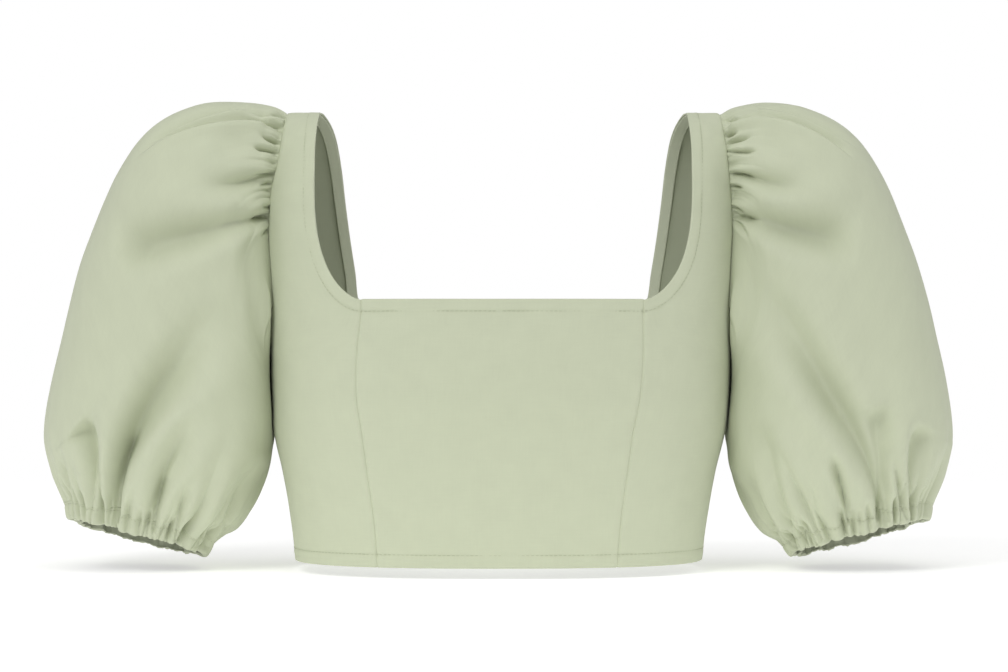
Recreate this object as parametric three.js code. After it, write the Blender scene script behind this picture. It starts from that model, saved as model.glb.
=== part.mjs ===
// A cropped top with a low square neck, princess seams and gathered puff sleeves on elastic cuffs,
// hollow and filled out as it is when worn on a general figure.
// Millimetres. +Z is up, -Y is the wearer's front and +X the wearer's left.
// The origin is midway between the tops of the two shoulder straps, where the shoulders carry it.
import * as THREE from "three";

// Cloth and sewing
const CLOTH = 1.4; // wall of a bodice panel or a sleeve
const CUFF_CLOTH = 2.0; // wall of the doubled cuff with its elastic
const FACING = 0.8; // wall of the neck edge's turned-in facing
const FACING_WIDTH = 8;
const SEAM_GAP = 0.3; // between two pieces that are sewn together
const FACING_GAP = 0.8; // between the facing and the panels that it lies against
const SLEEVE_LIFT = 0.55; // from the armhole's edge to the start of the sleeve
const CLEARANCE = 1.2; // between a sleeve and the bodice that it hangs against

// Bodice
const HEM_Z = -320;
const BODICE_POWER = 2.5; // superellipse power of a level section: 2 is an ellipse
const FRONT_NECK = { z: -135.6, flat: 97, cornerWidth: 35.7, cornerHeight: 94.6 };
const BACK_NECK = { z: -154, flat: 88, cornerWidth: 22.8, cornerHeight: 22 };
const ARMHOLE_BOTTOM = { z: -168, height: 28, reach: 43 }; // the rounded end under the arm

// Level sections from the shoulder down: height, half width, depth at the middle,
// and how far from the middle the armhole and the neck or princess line lie.
const FRONT = [
  { z: 0, half: 172, depth: 0, arm: 155, line: 131.2 },
  { z: -8, half: 172, depth: 36, arm: 156.2, line: 132.2 },
  { z: -24, half: 172, depth: 62, arm: 158.3, line: 132.9 },
  { z: -41, half: 172, depth: 78, arm: 160.5, line: 132.7 },
  { z: -60, half: 171.5, depth: 90, arm: 162.6, line: 118 },
  { z: -88, half: 170.7, depth: 102.5, arm: 163.7, line: 105 },
  { z: -112, half: 169.3, depth: 109.5, arm: 162.5, line: 98 },
  { z: -140, half: 167.5, depth: 115.5, arm: 161, line: 97 },
  { z: -176, half: 165.2, depth: 119, arm: 161, line: 98.4 },
  { z: -203, half: 164, depth: 116.5, arm: 161, line: 97.4 },
  { z: -228, half: 161.8, depth: 111, arm: 161, line: 93.4 },
  { z: -258, half: 156.4, depth: 106, arm: 161, line: 88.4 },
  { z: -290, half: 151, depth: 103, arm: 161, line: 84 },
  { z: HEM_Z, half: 147.4, depth: 101.5, arm: 161, line: 81.6 },
];
const BACK = [
  { z: 0, half: 172, depth: 0, arm: 155, line: 131.2 },
  { z: -6, half: 172, depth: 33, arm: 156, line: 126.4 },
  { z: -17, half: 172, depth: 56, arm: 157.6, line: 123 },
  { z: -38, half: 172, depth: 79, arm: 160.2, line: 120.2 },
  { z: -62, half: 171.5, depth: 94, arm: 162.1, line: 118.1 },
  { z: -88, half: 170.7, depth: 103, arm: 162.7, line: 115.1 },
  { z: -112, half: 169.3, depth: 107.5, arm: 162, line: 112.5 },
  { z: -140, half: 167.5, depth: 110, arm: 161, line: 110 },
  { z: -176, half: 165.2, depth: 109.5, arm: 161, line: 86 },
  { z: -203, half: 164, depth: 106.5, arm: 161, line: 84 },
  { z: -228, half: 161.8, depth: 103, arm: 161, line: 82 },
  { z: -258, half: 156.4, depth: 99, arm: 161, line: 80 },
  { z: -290, half: 151, depth: 96.5, arm: 161, line: 78 },
  { z: HEM_Z, half: 147.4, depth: 95.5, arm: 161, line: 77 },
];

// Sleeve sections, which fan out from the armhole to the cuff. v runs from 0 at the armhole to 1
// where the cuff starts. Each section spans from its inner point to its outer one as seen from the
// front, bulges by front and back across that, and leans so that its front side is raised.
const SLEEVE = [
  { v: 0, innerX: 165.6, innerZ: -168, outerX: 155, outerZ: 0, front: 44, back: 44, lean: 0 },
  { v: 0.06, innerX: 167, innerZ: -174, outerX: 166, outerZ: 5.5, front: 55, back: 54, lean: 0 },
  { v: 0.14, innerX: 167, innerZ: -182, outerX: 189, outerZ: 8.8, front: 66, back: 64, lean: 0 },
  { v: 0.24, innerX: 166, innerZ: -190, outerX: 218, outerZ: 6.5, front: 74, back: 71, lean: 0 },
  { v: 0.36, innerX: 165.5, innerZ: -200, outerX: 250.5, outerZ: -11, front: 79, back: 76, lean: 0.01 },
  { v: 0.48, innerX: 164.5, innerZ: -211, outerX: 276, outerZ: -46, front: 82, back: 79, lean: 0.02 },
  { v: 0.6, innerX: 164, innerZ: -225, outerX: 296.5, outerZ: -96, front: 84, back: 82, lean: 0.04 },
  { v: 0.71, innerX: 163.8, innerZ: -243, outerX: 312, outerZ: -147, front: 83, back: 82, lean: 0.06 },
  { v: 0.81, innerX: 167, innerZ: -264, outerX: 323, outerZ: -193, front: 80, back: 79, lean: 0.09 },
  { v: 0.89, innerX: 175.5, innerZ: -286, outerX: 327, outerZ: -232, front: 73, back: 73, lean: 0.11 },
  { v: 0.95, innerX: 188.5, innerZ: -302.5, outerX: 322.6, outerZ: -259, front: 62, back: 63, lean: 0.13 },
  { v: 1, innerX: 203.5, innerZ: -310.5, outerX: 313.6, outerZ: -280, front: 49, back: 50, lean: 0.14 },
  { v: 1.04, innerX: 209.5, innerZ: -319.5, outerX: 312, outerZ: -292.5, front: 46, back: 47, lean: 0.14 },
];
const SLEEVE_POWER = 2.15;
const SLEEVE_RINGS = [0, 0.025, 0.06, 0.11, 0.17, 0.24, 0.31, 0.39, 0.48, 0.59, 0.7, 0.8, 0.885, 0.95, 1];
const CUFF_RINGS = [1, 1.022, 1.04];
const SEAM_SHARE = 0.0006; // half a seam's gap at the cuff, as a share of the sleeve

// Gathers: the cloth's columns crowd into the top of the armhole and into the cuff
const GATHERS = 22;
const POINTS_PER_GATHER = 4;
const CAP_COLUMNS = 0.4; // share of half a sleeve's columns that is gathered into the cap
const CAP_EDGE = 0.26; // share of half the armhole that takes them
const CAP_GATHER = { height: 1.7, rise: 0.03, reach: 0.1 };
const CUFF_GATHER = { height: 1.9, reach: 0.07 };

// The largest folds of a sleeve, as soft troughs seen from the front or from the back: start,
// middle and end points on the wearer's left sleeve, half width, and depth.
const FOLDS = {
  front: [
    { on: "both", x0: 154, z0: -11, x1: 196, z1: -5, x2: 246, z2: -31, width: 7, depth: 3 },
    { on: "both", x0: 158, z0: -46, x1: 180, z1: -53, x2: 208, z2: -55, width: 9, depth: 3 },
    { on: "both", x0: 162, z0: -75, x1: 205, z1: -88, x2: 256, z2: -92, width: 13, depth: 5 },
    { on: "right", x0: 182, z0: -134, x1: 258, z1: -190, x2: 266, z2: -266, width: 13, depth: 6 },
    { on: "right", x0: 293, z0: -222, x1: 290, z1: -240, x2: 284, z2: -258, width: 9, depth: 3.5 },
    { on: "right", x0: 228, z0: -250, x1: 236, z1: -266, x2: 241, z2: -284, width: 6, depth: 3.5 },
    { on: "left", x0: 186, z0: -146, x1: 240, z1: -190, x2: 260, z2: -255, width: 12, depth: 6 },
    { on: "left", x0: 269, z0: -210, x1: 270, z1: -230, x2: 274, z2: -252, width: 10, depth: 3.5 },
    { on: "left", x0: 228, z0: -242, x1: 234, z1: -262, x2: 242, z2: -284, width: 6, depth: 4 },
  ],
  back: [
    { on: "both", x0: 156, z0: -22, x1: 192, z1: -20, x2: 240, z2: -40, width: 9, depth: 3.5 },
    { on: "both", x0: 163, z0: -70, x1: 206, z1: -90, x2: 262, z2: -104, width: 13, depth: 5 },
    { on: "both", x0: 190, z0: -150, x1: 250, z1: -192, x2: 268, z2: -262, width: 13, depth: 5.5 },
    { on: "both", x0: 205, z0: -218, x1: 220, z1: -244, x2: 232, z2: -276, width: 9, depth: 3.5 },
  ],
};

const sage = new THREE.MeshStandardMaterial({ color: 0xc1c7ae, roughness: 0.9, metalness: 0 });
const sageInside = new THREE.MeshStandardMaterial({ color: 0xb3b99f, roughness: 0.92, metalness: 0 });

const range = (count) => Array.from({ length: count }, (_, i) => i);
const mix = THREE.MathUtils.lerp;
const smooth = THREE.MathUtils.smoothstep;
const power = (value, exponent) => Math.sign(value) * Math.abs(value) ** exponent;

// All columns of a table at one place, smooth through its rows, which are sorted by the key column.
function rowAt(rows, key, at) {
  const last = rows.length - 2;
  const found = rows.findIndex((row, i) => i <= last && at <= rows[i + 1][key]);
  const i = found < 0 ? last : found;
  const [a, b] = [rows[i], rows[i + 1]];
  const [before, after] = [rows[Math.max(i - 1, 0)], rows[Math.min(i + 2, last + 1)]];
  const span = b[key] - a[key];
  const s = (at - a[key]) / span;
  const result = {};
  for (const name of Object.keys(a)) {
    const slopeA = (b[name] - before[name]) / (b[key] - before[key]);
    const slopeB = (after[name] - a[name]) / (after[key] - a[key]);
    result[name] =
      a[name] * (1 + 2 * s) * (1 - s) ** 2 +
      b[name] * (3 - 2 * s) * s ** 2 +
      span * (slopeA * s * (1 - s) ** 2 - slopeB * (1 - s) * s ** 2);
  }
  return result;
}

// ---- The bodice's surface -------------------------------------------------------------------
// run is the distance along the middle line: 0 at the shoulder, below 0 down the front and above
// 0 down the back. angle turns from 0 at the middle to a quarter turn at the side seam.
const SPINE = [...FRONT.toReversed().map((row) => ({ ...row, depth: -row.depth })), ...BACK.slice(1)];
SPINE[0].run = 0;
SPINE.slice(1).forEach((row, i) => {
  row.run = SPINE[i].run + Math.hypot(row.depth - SPINE[i].depth, row.z - SPINE[i].z);
});
const SHOULDER_RUN = SPINE[FRONT.length - 1].run;
SPINE.forEach((row) => (row.run -= SHOULDER_RUN));

const section = (run) => rowAt(SPINE, "run", run);

function bodicePoint(run, angle) {
  const { half, depth, z } = section(run);
  const x = half * power(Math.sin(angle), 2 / BODICE_POWER);
  return new THREE.Vector3(x, depth * power(Math.cos(angle), 2 / BODICE_POWER), z);
}

// Steps of 1 mm and 0.01 rad, kept inside the quarter turn, give the surface's directions.
function bodiceSlopes(run, angle) {
  const far = Math.sign(angle || 1) * Math.min(Math.abs(angle), Math.PI / 2 - 0.02);
  const alongRun = bodicePoint(run + 0.5, far).sub(bodicePoint(run - 0.5, far));
  const alongAngle = bodicePoint(run, far + 0.01).sub(bodicePoint(run, far - 0.01)).divideScalar(0.02);
  return { alongRun, alongAngle };
}

function bodiceNormal(run, angle) {
  const { alongRun, alongAngle } = bodiceSlopes(run, angle);
  return alongAngle.cross(alongRun).normalize();
}

const runAtHeight = (z, back) => {
  let [near, far] = [0, back ? SPINE.at(-1).run : SPINE[0].run];
  for (const _ of range(40)) {
    const middle = (near + far) / 2;
    if (section(middle).z > z) near = middle;
    else far = middle;
  }
  return (near + far) / 2;
};

const angleAtX = (run, x) => Math.asin(Math.min(x / section(run).half, 1) ** (BODICE_POWER / 2));

// The neck edge above the neckline, and the princess line or its place on the back below it.
function lineAngle(run) {
  const neck = run < 0 ? FRONT_NECK : BACK_NECK;
  const { z, line } = section(run);
  const cornerTop = neck.z + neck.cornerHeight;
  if (z > cornerTop) return angleAtX(run, line);
  if (z > neck.z) {
    const rise = (cornerTop - z) / neck.cornerHeight;
    return angleAtX(run, neck.flat + neck.cornerWidth * Math.sqrt(Math.max(1 - rise ** 2, 0)));
  }
  return angleAtX(run, run < 0 ? line : Math.min(line, neck.flat));
}

// The armhole's edge, and the edge along the side seam below it.
function outerAngle(run) {
  const { z, arm, depth } = section(run);
  const lowered = (ARMHOLE_BOTTOM.z + ARMHOLE_BOTTOM.height - z) / ARMHOLE_BOTTOM.height;
  if (lowered <= 0) return angleAtX(run, arm);
  const reach = Math.max(ARMHOLE_BOTTOM.reach * Math.sqrt(Math.max(1 - lowered ** 2, 0)), SEAM_GAP / 2);
  return Math.acos((reach / Math.abs(depth)) ** (BODICE_POWER / 2));
}

// The angle that lies a distance in millimetres further out than another.
const shifted = (run, angle, distance) => angle + distance / bodiceSlopes(run, angle).alongAngle.length();

// ---- Walls of cloth -------------------------------------------------------------------------
// Closes two grids of points, the wall's two faces, into one solid over the cells that hold cloth.
function clothWall(outer, inner, { closed = false, isCloth = () => true } = {}) {
  const columns = outer[0].length;
  const cells = closed ? columns : columns - 1;
  const position = [];
  const quad = (a, b, c, d) => [a, b, c, a, c, d].forEach((p) => position.push(p.x, p.y, p.z));
  const at = (side, [j, i]) => side[j][i % columns];
  const filled = (j, i) => {
    if (j < 0 || j >= outer.length - 1) return false;
    if (!closed && (i < 0 || i >= cells)) return false;
    return isCloth(j, (i + cells) % cells);
  };
  for (const j of range(outer.length - 1)) {
    for (const i of range(cells).filter((k) => filled(j, k))) {
      const corners = [[j, i], [j, i + 1], [j + 1, i + 1], [j + 1, i]];
      const across = [[j - 1, i], [j, i + 1], [j + 1, i], [j, i - 1]];
      quad(...corners.map((corner) => at(outer, corner)));
      quad(...corners.toReversed().map((corner) => at(inner, corner)));
      across.forEach(([r, k], n) => {
        if (filled(r, k)) return;
        const [p, q] = [corners[n], corners[(n + 1) % 4]];
        quad(at(outer, q), at(outer, p), at(inner, p), at(inner, q));
      });
    }
  }
  return faceOut(position);
}

// A geometry whose faces point out, whichever way round its grid was given.
function faceOut(position) {
  const [a, b, c] = [new THREE.Vector3(), new THREE.Vector3(), new THREE.Vector3()];
  let volume = 0;
  for (let i = 0; i < position.length; i += 9) {
    a.fromArray(position, i);
    b.fromArray(position, i + 3);
    c.fromArray(position, i + 6);
    volume += a.dot(b.cross(c));
  }
  if (volume < 0) {
    for (let i = 0; i < position.length; i += 9) {
      const second = position.slice(i + 3, i + 6);
      position.splice(i + 3, 3, ...position.slice(i + 6, i + 9));
      position.splice(i + 6, 3, ...second);
    }
  }
  const geometry = new THREE.BufferGeometry();
  geometry.setAttribute("position", new THREE.Float32BufferAttribute(position, 3));
  geometry.computeVertexNormals();
  return geometry;
}

const piece = (name, geometry, material = sage) => {
  const mesh = new THREE.Mesh(geometry, material);
  mesh.name = name;
  return mesh;
};

// ---- Bodice panels --------------------------------------------------------------------------
const LOWER_HEIGHTS = [HEM_Z, -300, -279, -258, -238, -219, -201, -184, ARMHOLE_BOTTOM.z];
const UNDERARM_STEPS = 4;
const STRAP_HEIGHTS = [-26, -14, -6, -1.6];
const PANEL_COLUMNS = 6;
const CENTRE_COLUMNS = 12;

// Runs from the hem to the shoulder, with steps around the armhole's bottom and the neck's corner.
function panelRuns(back) {
  const neck = back ? BACK_NECK : FRONT_NECK;
  const cornerTop = neck.z + neck.cornerHeight;
  const cornerSteps = back ? 4 : 8;
  const quarter = (step, steps) => (step / steps) * (Math.PI / 2);
  const underarm = range(UNDERARM_STEPS).map(
    (k) => ARMHOLE_BOTTOM.z + ARMHOLE_BOTTOM.height * (1 - Math.cos(quarter(k + 1, UNDERARM_STEPS))),
  );
  const corner = range(cornerSteps + 1).map(
    (k) => cornerTop - neck.cornerHeight * Math.cos(quarter(k, cornerSteps)),
  );
  const above = back ? [-116, -96, -76, -56, -40, ...STRAP_HEIGHTS] : STRAP_HEIGHTS;
  const heights = [...LOWER_HEIGHTS, ...underarm, ...corner, ...above].sort((p, q) => p - q);
  const apart = heights.filter((z, i) => i === 0 || z - heights[i - 1] > 0.8 || z === neck.z);
  const shoulder = (back ? 1 : -1) * SEAM_GAP * 0.9;
  return [...apart.map((z) => runAtHeight(z, back)), shoulder];
}

// A panel from its rows of (run, angle) places.
function panel(places, options) {
  const outer = places.map((row) => row.map(({ run, angle }) => bodicePoint(run, angle)));
  const inner = places.map((row, j) =>
    row.map(({ run, angle }, i) => outer[j][i].clone().addScaledVector(bodiceNormal(run, angle), -CLOTH)),
  );
  return clothWall(outer, inner, options);
}

// Places along one row, evenly from one angle to another.
const spread = (run, from, to, count) =>
  range(count + 1).map((i) => ({ run, angle: mix(from, to, i / count) }));

function frontSide(side) {
  const places = panelRuns(false).map((run) => {
    const from = shifted(run, lineAngle(run), SEAM_GAP / 2);
    return spread(run, side * from, side * outerAngle(run), PANEL_COLUMNS);
  });
  return panel(places);
}

function frontCentre() {
  const runs = panelRuns(false).filter((run) => section(run).z <= FRONT_NECK.z + 0.01);
  const places = runs.map((run) => {
    const edge = shifted(run, lineAngle(run), -SEAM_GAP / 2);
    return spread(run, -edge, edge, CENTRE_COLUMNS);
  });
  return panel(places);
}

function back() {
  const runs = panelRuns(true);
  const places = runs.map((run) => {
    const line = lineAngle(run);
    const outer = outerAngle(run);
    return [
      ...spread(run, -outer, -line, PANEL_COLUMNS).slice(0, -1),
      ...spread(run, -line, line, CENTRE_COLUMNS),
      ...spread(run, line, outer, PANEL_COLUMNS).slice(1),
    ];
  });
  const isCloth = (j, i) => {
    const inMiddle = i >= PANEL_COLUMNS && i < PANEL_COLUMNS + CENTRE_COLUMNS;
    return !inMiddle || section(runs[j]).z < BACK_NECK.z - 0.01;
  };
  return panel(places, { isCloth });
}

// The narrow facing that is turned in and stitched down all round the neck edge.
function neckFacing() {
  const frontRuns = panelRuns(false).filter((run) => section(run).z >= FRONT_NECK.z - 0.01);
  const backRuns = panelRuns(true).filter((run) => section(run).z >= BACK_NECK.z - 0.01);
  const edgeRuns = [...frontRuns.slice(0, -1), 0, ...backRuns.toReversed().slice(1)];
  const edge = edgeRuns.map((run) => ({ run, angle: lineAngle(run) }));
  const middle = (run) => spread(run, 0, lineAngle(run), CENTRE_COLUMNS / 2).slice(0, -1);
  const half = [...middle(edge[0].run), ...edge, ...middle(edge.at(-1).run).toReversed()];
  const mirrored = half.slice(1, -1).toReversed().map(({ run, angle }) => ({ run, angle: -angle }));
  const loop = [...half, ...mirrored];
  const points = loop.map(({ run, angle }) => bodicePoint(run, angle));
  const widths = [SEAM_GAP, FACING_WIDTH];
  const rows = widths.map((width) =>
    loop.map(({ run, angle }, i) => {
      const next = points[(i + 1) % loop.length];
      const previous = points.at(i - 1);
      const intoCloth = next.clone().sub(previous).cross(bodiceNormal(run, angle)).normalize();
      return moved(run, angle, intoCloth.multiplyScalar(width));
    }),
  );
  const under = (depth) => ({ run, angle }) =>
    bodicePoint(run, angle).addScaledVector(bodiceNormal(run, angle), -depth);
  const lowered = (depth) => rows.map((row) => row.map(under(depth)));
  return clothWall(lowered(CLOTH + FACING_GAP), lowered(CLOTH + FACING_GAP + FACING), { closed: true });
}

// The place on the bodice's surface that a short step leads to.
function moved(run, angle, step) {
  const { alongRun, alongAngle } = bodiceSlopes(run, angle);
  const [rr, ra, aa] = [alongRun.dot(alongRun), alongRun.dot(alongAngle), alongAngle.dot(alongAngle)];
  const [r, a] = [alongRun.dot(step), alongAngle.dot(step)];
  const determinant = rr * aa - ra * ra;
  return { run: run + (r * aa - a * ra) / determinant, angle: angle + (a * rr - r * ra) / determinant };
}

// ---- Sleeves --------------------------------------------------------------------------------
// The armhole's edge as places on the bodice, from the shoulder down the front and up the back.
const ARMHOLE = [false, true].flatMap((isBack) => {
  const depths = range(61).map((k) => ARMHOLE_BOTTOM.z * Math.sin(((k / 60) * Math.PI) / 2) ** 2);
  const places = depths.map((z) => runAtHeight(z, isBack)).map((run) => ({ run, angle: outerAngle(run) }));
  return isBack ? places.toReversed().slice(1) : places;
});
const ARMHOLE_POINTS = ARMHOLE.map(({ run, angle }) => bodicePoint(run, angle));
const ARMHOLE_LENGTHS = ARMHOLE_POINTS.reduce(
  (sums, point, i) => [...sums, i ? sums[i - 1] + point.distanceTo(ARMHOLE_POINTS[i - 1]) : 0],
  [],
);

// A point of the armhole's edge with the bodice's normal and the way out of the bodice there.
function armholeAt(share) {
  const wanted = share * ARMHOLE_LENGTHS.at(-1);
  const found = ARMHOLE_LENGTHS.findIndex((length) => length > wanted);
  const i = THREE.MathUtils.clamp(found - 1, 0, ARMHOLE.length - 2);
  const s = (wanted - ARMHOLE_LENGTHS[i]) / (ARMHOLE_LENGTHS[i + 1] - ARMHOLE_LENGTHS[i]);
  const [a, b] = [ARMHOLE[i], ARMHOLE[i + 1]];
  const point = ARMHOLE_POINTS[i].clone().lerp(ARMHOLE_POINTS[i + 1], s);
  const normal = bodiceNormal(a.run, a.angle).lerp(bodiceNormal(b.run, b.angle), s).normalize();
  const outward = normal.clone().cross(ARMHOLE_POINTS[i + 1].clone().sub(ARMHOLE_POINTS[i])).normalize();
  return { point, normal, outward };
}

// A point of a sleeve section, at an angle from its outer point over the front and inner ones.
function sectionPoint(v, angle) {
  const { innerX, innerZ, outerX, outerZ, front, back: rear, lean } = rowAt(SLEEVE, "v", v);
  const along = power(Math.cos(angle), 2 / SLEEVE_POWER);
  const across = power(Math.sin(angle), 2 / SLEEVE_POWER);
  const bulge = across * (across > 0 ? front : rear);
  const half = Math.hypot(outerX - innerX, outerZ - innerZ) / 2;
  const outwards = new THREE.Vector3(outerX - innerX, 0, outerZ - innerZ).normalize();
  const upArm = new THREE.Vector3(-outwards.z, 0, outwards.x);
  return new THREE.Vector3((innerX + outerX) / 2, 0, (innerZ + outerZ) / 2)
    .addScaledVector(outwards, half * along)
    .addScaledVector(upArm, bulge * lean)
    .add(new THREE.Vector3(0, -bulge, 0));
}

// Where a column of the sleeve's cloth meets the armhole, and the section angle there.
function columnStart(column) {
  const near = Math.min(column, 1 - column);
  const share =
    near < CAP_COLUMNS
      ? (near / CAP_COLUMNS) * CAP_EDGE
      : mix(CAP_EDGE, 0.5, (near - CAP_COLUMNS) / (0.5 - CAP_COLUMNS));
  const { point, normal, outward } = armholeAt(column < 0.5 ? share : 1 - share);
  const turn = smooth(share, 0.3, 0.5);
  const lift = outward.multiplyScalar(1 - turn).addScaledVector(normal, turn).setLength(SLEEVE_LIFT);
  const height = THREE.MathUtils.clamp(1 - (2 * point.z) / ARMHOLE_BOTTOM.z, -1, 1);
  const angle = Math.acos(power(height, SLEEVE_POWER / 2));
  return { point: point.add(lift), angle: column < 0.5 ? angle : 2 * Math.PI - angle };
}

function sleevePoint(column, v) {
  const start = columnStart(column);
  const angle = mix(start.angle, 2 * Math.PI * column, smooth(v, 0, 0.45));
  const misfit = start.point.sub(sectionPoint(0, start.angle));
  return sectionPoint(v, angle).addScaledVector(misfit, 1 - smooth(v, 0, 0.25));
}

// Height of the gathers above the smooth sleeve: waves of uneven height and length at both ends.
function gatherHeight(column, v) {
  const wave = Math.cos(2 * Math.PI * GATHERS * column);
  const number = Math.round(GATHERS * column) % GATHERS;
  const uneven = (phase) => 0.75 + 0.25 * Math.sin(number * 2.4 + phase);
  const near = Math.min(column, 1 - column);
  const inCap = 1 - smooth(near, CAP_COLUMNS - 0.03, CAP_COLUMNS + 0.03);
  const capRise = mix(0.25, 1, smooth(v, 0, CAP_GATHER.rise));
  const fromCap = v / (CAP_GATHER.reach * uneven(2));
  const toCuff = Math.max(1 - v, 0) / (CUFF_GATHER.reach * uneven(1));
  const cap = inCap * capRise * CAP_GATHER.height * uneven(0) * Math.exp(-(fromCap ** 2));
  const cuff = CUFF_GATHER.height * uneven(4) * Math.exp(-(toCuff ** 2));
  return wave * (cap + cuff);
}

// Depth of one fold at a point: a trough with round sides along a curve that is seen from one face.
function foldDepth(fold, point) {
  const curve = new THREE.QuadraticBezierCurve(
    new THREE.Vector2(fold.x0, fold.z0),
    new THREE.Vector2(fold.x1, fold.z1),
    new THREE.Vector2(fold.x2, fold.z2),
  );
  const seen = new THREE.Vector2(point.x, point.z);
  const steps = 16;
  const distances = range(steps + 1).map((k) => curve.getPoint(k / steps).distanceTo(seen));
  const nearest = Math.min(...distances);
  const s = distances.indexOf(nearest) / steps;
  const fade = smooth(s, -0.15, 0.25) * (1 - smooth(s, 0.7, 1.1)) * smooth(Math.abs(point.y), 0, 18);
  return fold.depth * fade * Math.exp(-((nearest / fold.width) ** 2));
}

// Moves a point straight out of the bodice, to hang beside it.
function clearOfBodice(point) {
  if (point.z > ARMHOLE_BOTTOM.z + 8) return point;
  const { half, depth } = section(runAtHeight(Math.max(point.z, HEM_Z), point.y > 0));
  const share = Math.min(Math.abs(point.y / depth), 1);
  const surface = half * (1 - share ** BODICE_POWER) ** (1 / BODICE_POWER);
  const gap = point.x - surface - CLEARANCE;
  const softness = 3;
  if (gap > softness) return point;
  return point.setX(point.x - gap + softness * Math.exp(Math.min(gap / softness - 1, 0)));
}

// The outer and inner points of a tube of sleeve cloth over a list of rings.
function sleeveTube(rings, side, thickness) {
  const count = GATHERS * POINTS_PER_GATHER;
  const columns = range(count).map((k) => k / count);
  const isOn = ({ on }) => on === "both" || on === (side > 0 ? "left" : "right");
  const folds = { front: FOLDS.front.filter(isOn), back: FOLDS.back.filter(isOn) };
  const shape = (column, v) => {
    const base = sleevePoint(column, v);
    const around = sleevePoint((column + 0.004) % 1, v).sub(sleevePoint((column + 0.996) % 1, v));
    const along = sleevePoint(column, v + 0.004).sub(sleevePoint(column, Math.max(v - 0.004, 0)));
    const normal = around.cross(along).normalize();
    const shown = v < 1 ? folds[base.y > 0 ? "back" : "front"] : [];
    const sunk = shown.reduce((sum, fold) => sum + foldDepth(fold, base), 0) * smooth(v, 0, 0.05);
    const outer = clearOfBodice(base.addScaledVector(normal, gatherHeight(column, v) - sunk));
    const inner = outer.clone().addScaledVector(normal, -thickness);
    return [outer, inner].map((point) => point.setX(point.x * side));
  };
  const grid = rings.map((v) => columns.map((column) => shape(column, v)));
  const [outer, inner] = [0, 1].map((face) => grid.map((row) => row.map((pair) => pair[face])));
  return clothWall(outer, inner, { closed: true });
}

const sleeve = (side) => sleeveTube([...SLEEVE_RINGS.slice(0, -1), 1 - SEAM_SHARE], side, CLOTH);
const cuff = (side) => sleeveTube([1 + SEAM_SHARE, ...CUFF_RINGS.slice(1)], side, CUFF_CLOTH);

// ---- The garment ----------------------------------------------------------------------------
const top = new THREE.Group();
top.add(piece("front_centre", frontCentre()));
top.add(piece("back", back()));
top.add(piece("neck_facing", neckFacing(), sageInside));
for (const [name, side] of [["left", 1], ["right", -1]]) {
  top.add(piece(`front_side_${name}`, frontSide(side)));
  top.add(piece(`sleeve_${name}`, sleeve(side)));
  top.add(piece(`cuff_${name}`, cuff(side)));
}

export default top;
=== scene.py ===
import math

import bpy
import numpy as np
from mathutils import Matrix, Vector


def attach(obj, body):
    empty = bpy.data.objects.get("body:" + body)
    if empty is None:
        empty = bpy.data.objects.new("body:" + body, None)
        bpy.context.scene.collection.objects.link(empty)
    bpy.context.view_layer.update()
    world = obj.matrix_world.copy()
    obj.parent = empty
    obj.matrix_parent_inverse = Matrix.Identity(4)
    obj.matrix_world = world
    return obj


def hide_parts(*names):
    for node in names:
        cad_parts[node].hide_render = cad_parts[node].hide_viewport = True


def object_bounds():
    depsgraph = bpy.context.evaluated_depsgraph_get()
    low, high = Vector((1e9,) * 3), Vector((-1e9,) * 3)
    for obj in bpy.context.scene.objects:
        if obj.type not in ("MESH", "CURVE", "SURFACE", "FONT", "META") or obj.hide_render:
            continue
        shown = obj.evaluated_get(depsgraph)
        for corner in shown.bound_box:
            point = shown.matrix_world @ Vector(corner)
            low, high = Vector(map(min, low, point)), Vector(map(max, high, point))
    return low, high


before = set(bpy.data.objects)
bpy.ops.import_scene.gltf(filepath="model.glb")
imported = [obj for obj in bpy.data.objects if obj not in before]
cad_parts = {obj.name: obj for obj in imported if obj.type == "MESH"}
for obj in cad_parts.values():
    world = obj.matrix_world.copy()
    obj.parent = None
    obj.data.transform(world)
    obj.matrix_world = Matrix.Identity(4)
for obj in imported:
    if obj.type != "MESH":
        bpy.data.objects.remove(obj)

# The cropped top's cloth, sewing and studio. Shapes are worked out in millimetres in the frame's
# axes: +Z up, -Y the wearer's front, +X the wearer's left, from between the strap tops.
CAD_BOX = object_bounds()
MM = 0.001
SIDES = ((1, "left"), (-1, "right"))

# ---- Sizes ----
CLOTH = 0.85  # one layer of cloth
FOLDED_EDGE = 0.7  # what a turned edge adds to it
ALLOWANCE = 0.35  # what pressed seam allowances add on the inside
# How far the rounded rim of a sheet and the ends of a tube stand out, by their thickness.
ROUNDED_RIM, ROUNDED_END = 0.35, 0.3
SEAM_GAP = 0.12
NECK_STITCH = 8.0  # from the neck edge to its topstitching
HEM_STITCH = 8.6
FACING_WIDTH = 8.6
STITCH = {"length": 2.3, "gap": 0.9, "radius": 0.17}
ABOVE_CLOTH = 0.2  # how high the middle of a stitch's thread lies
CLEARANCE = 0.6  # between a sleeve and the bodice beside it

POWER = 2.5  # of a level section of the bodice: 2 is an ellipse
FRONT_NECK = {"z": -135.6, "flat": 97, "width": 35.7, "height": 94.6, "bend": 3, "square": 0.6}
BACK_NECK = {"z": -154, "flat": 88, "width": 19.9, "height": 22, "bend": 2, "square": 0.5}
ARMHOLE = {"z": -168, "height": 28, "reach": 43}


def table(names, text):
    """Named columns from rows of numbers, a row to a line or between commas."""
    rows = [row.split() for row in text.replace("\n", ",").split(",") if row.strip()]
    return dict(zip(names.split(), np.array(rows, float).T))


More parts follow.
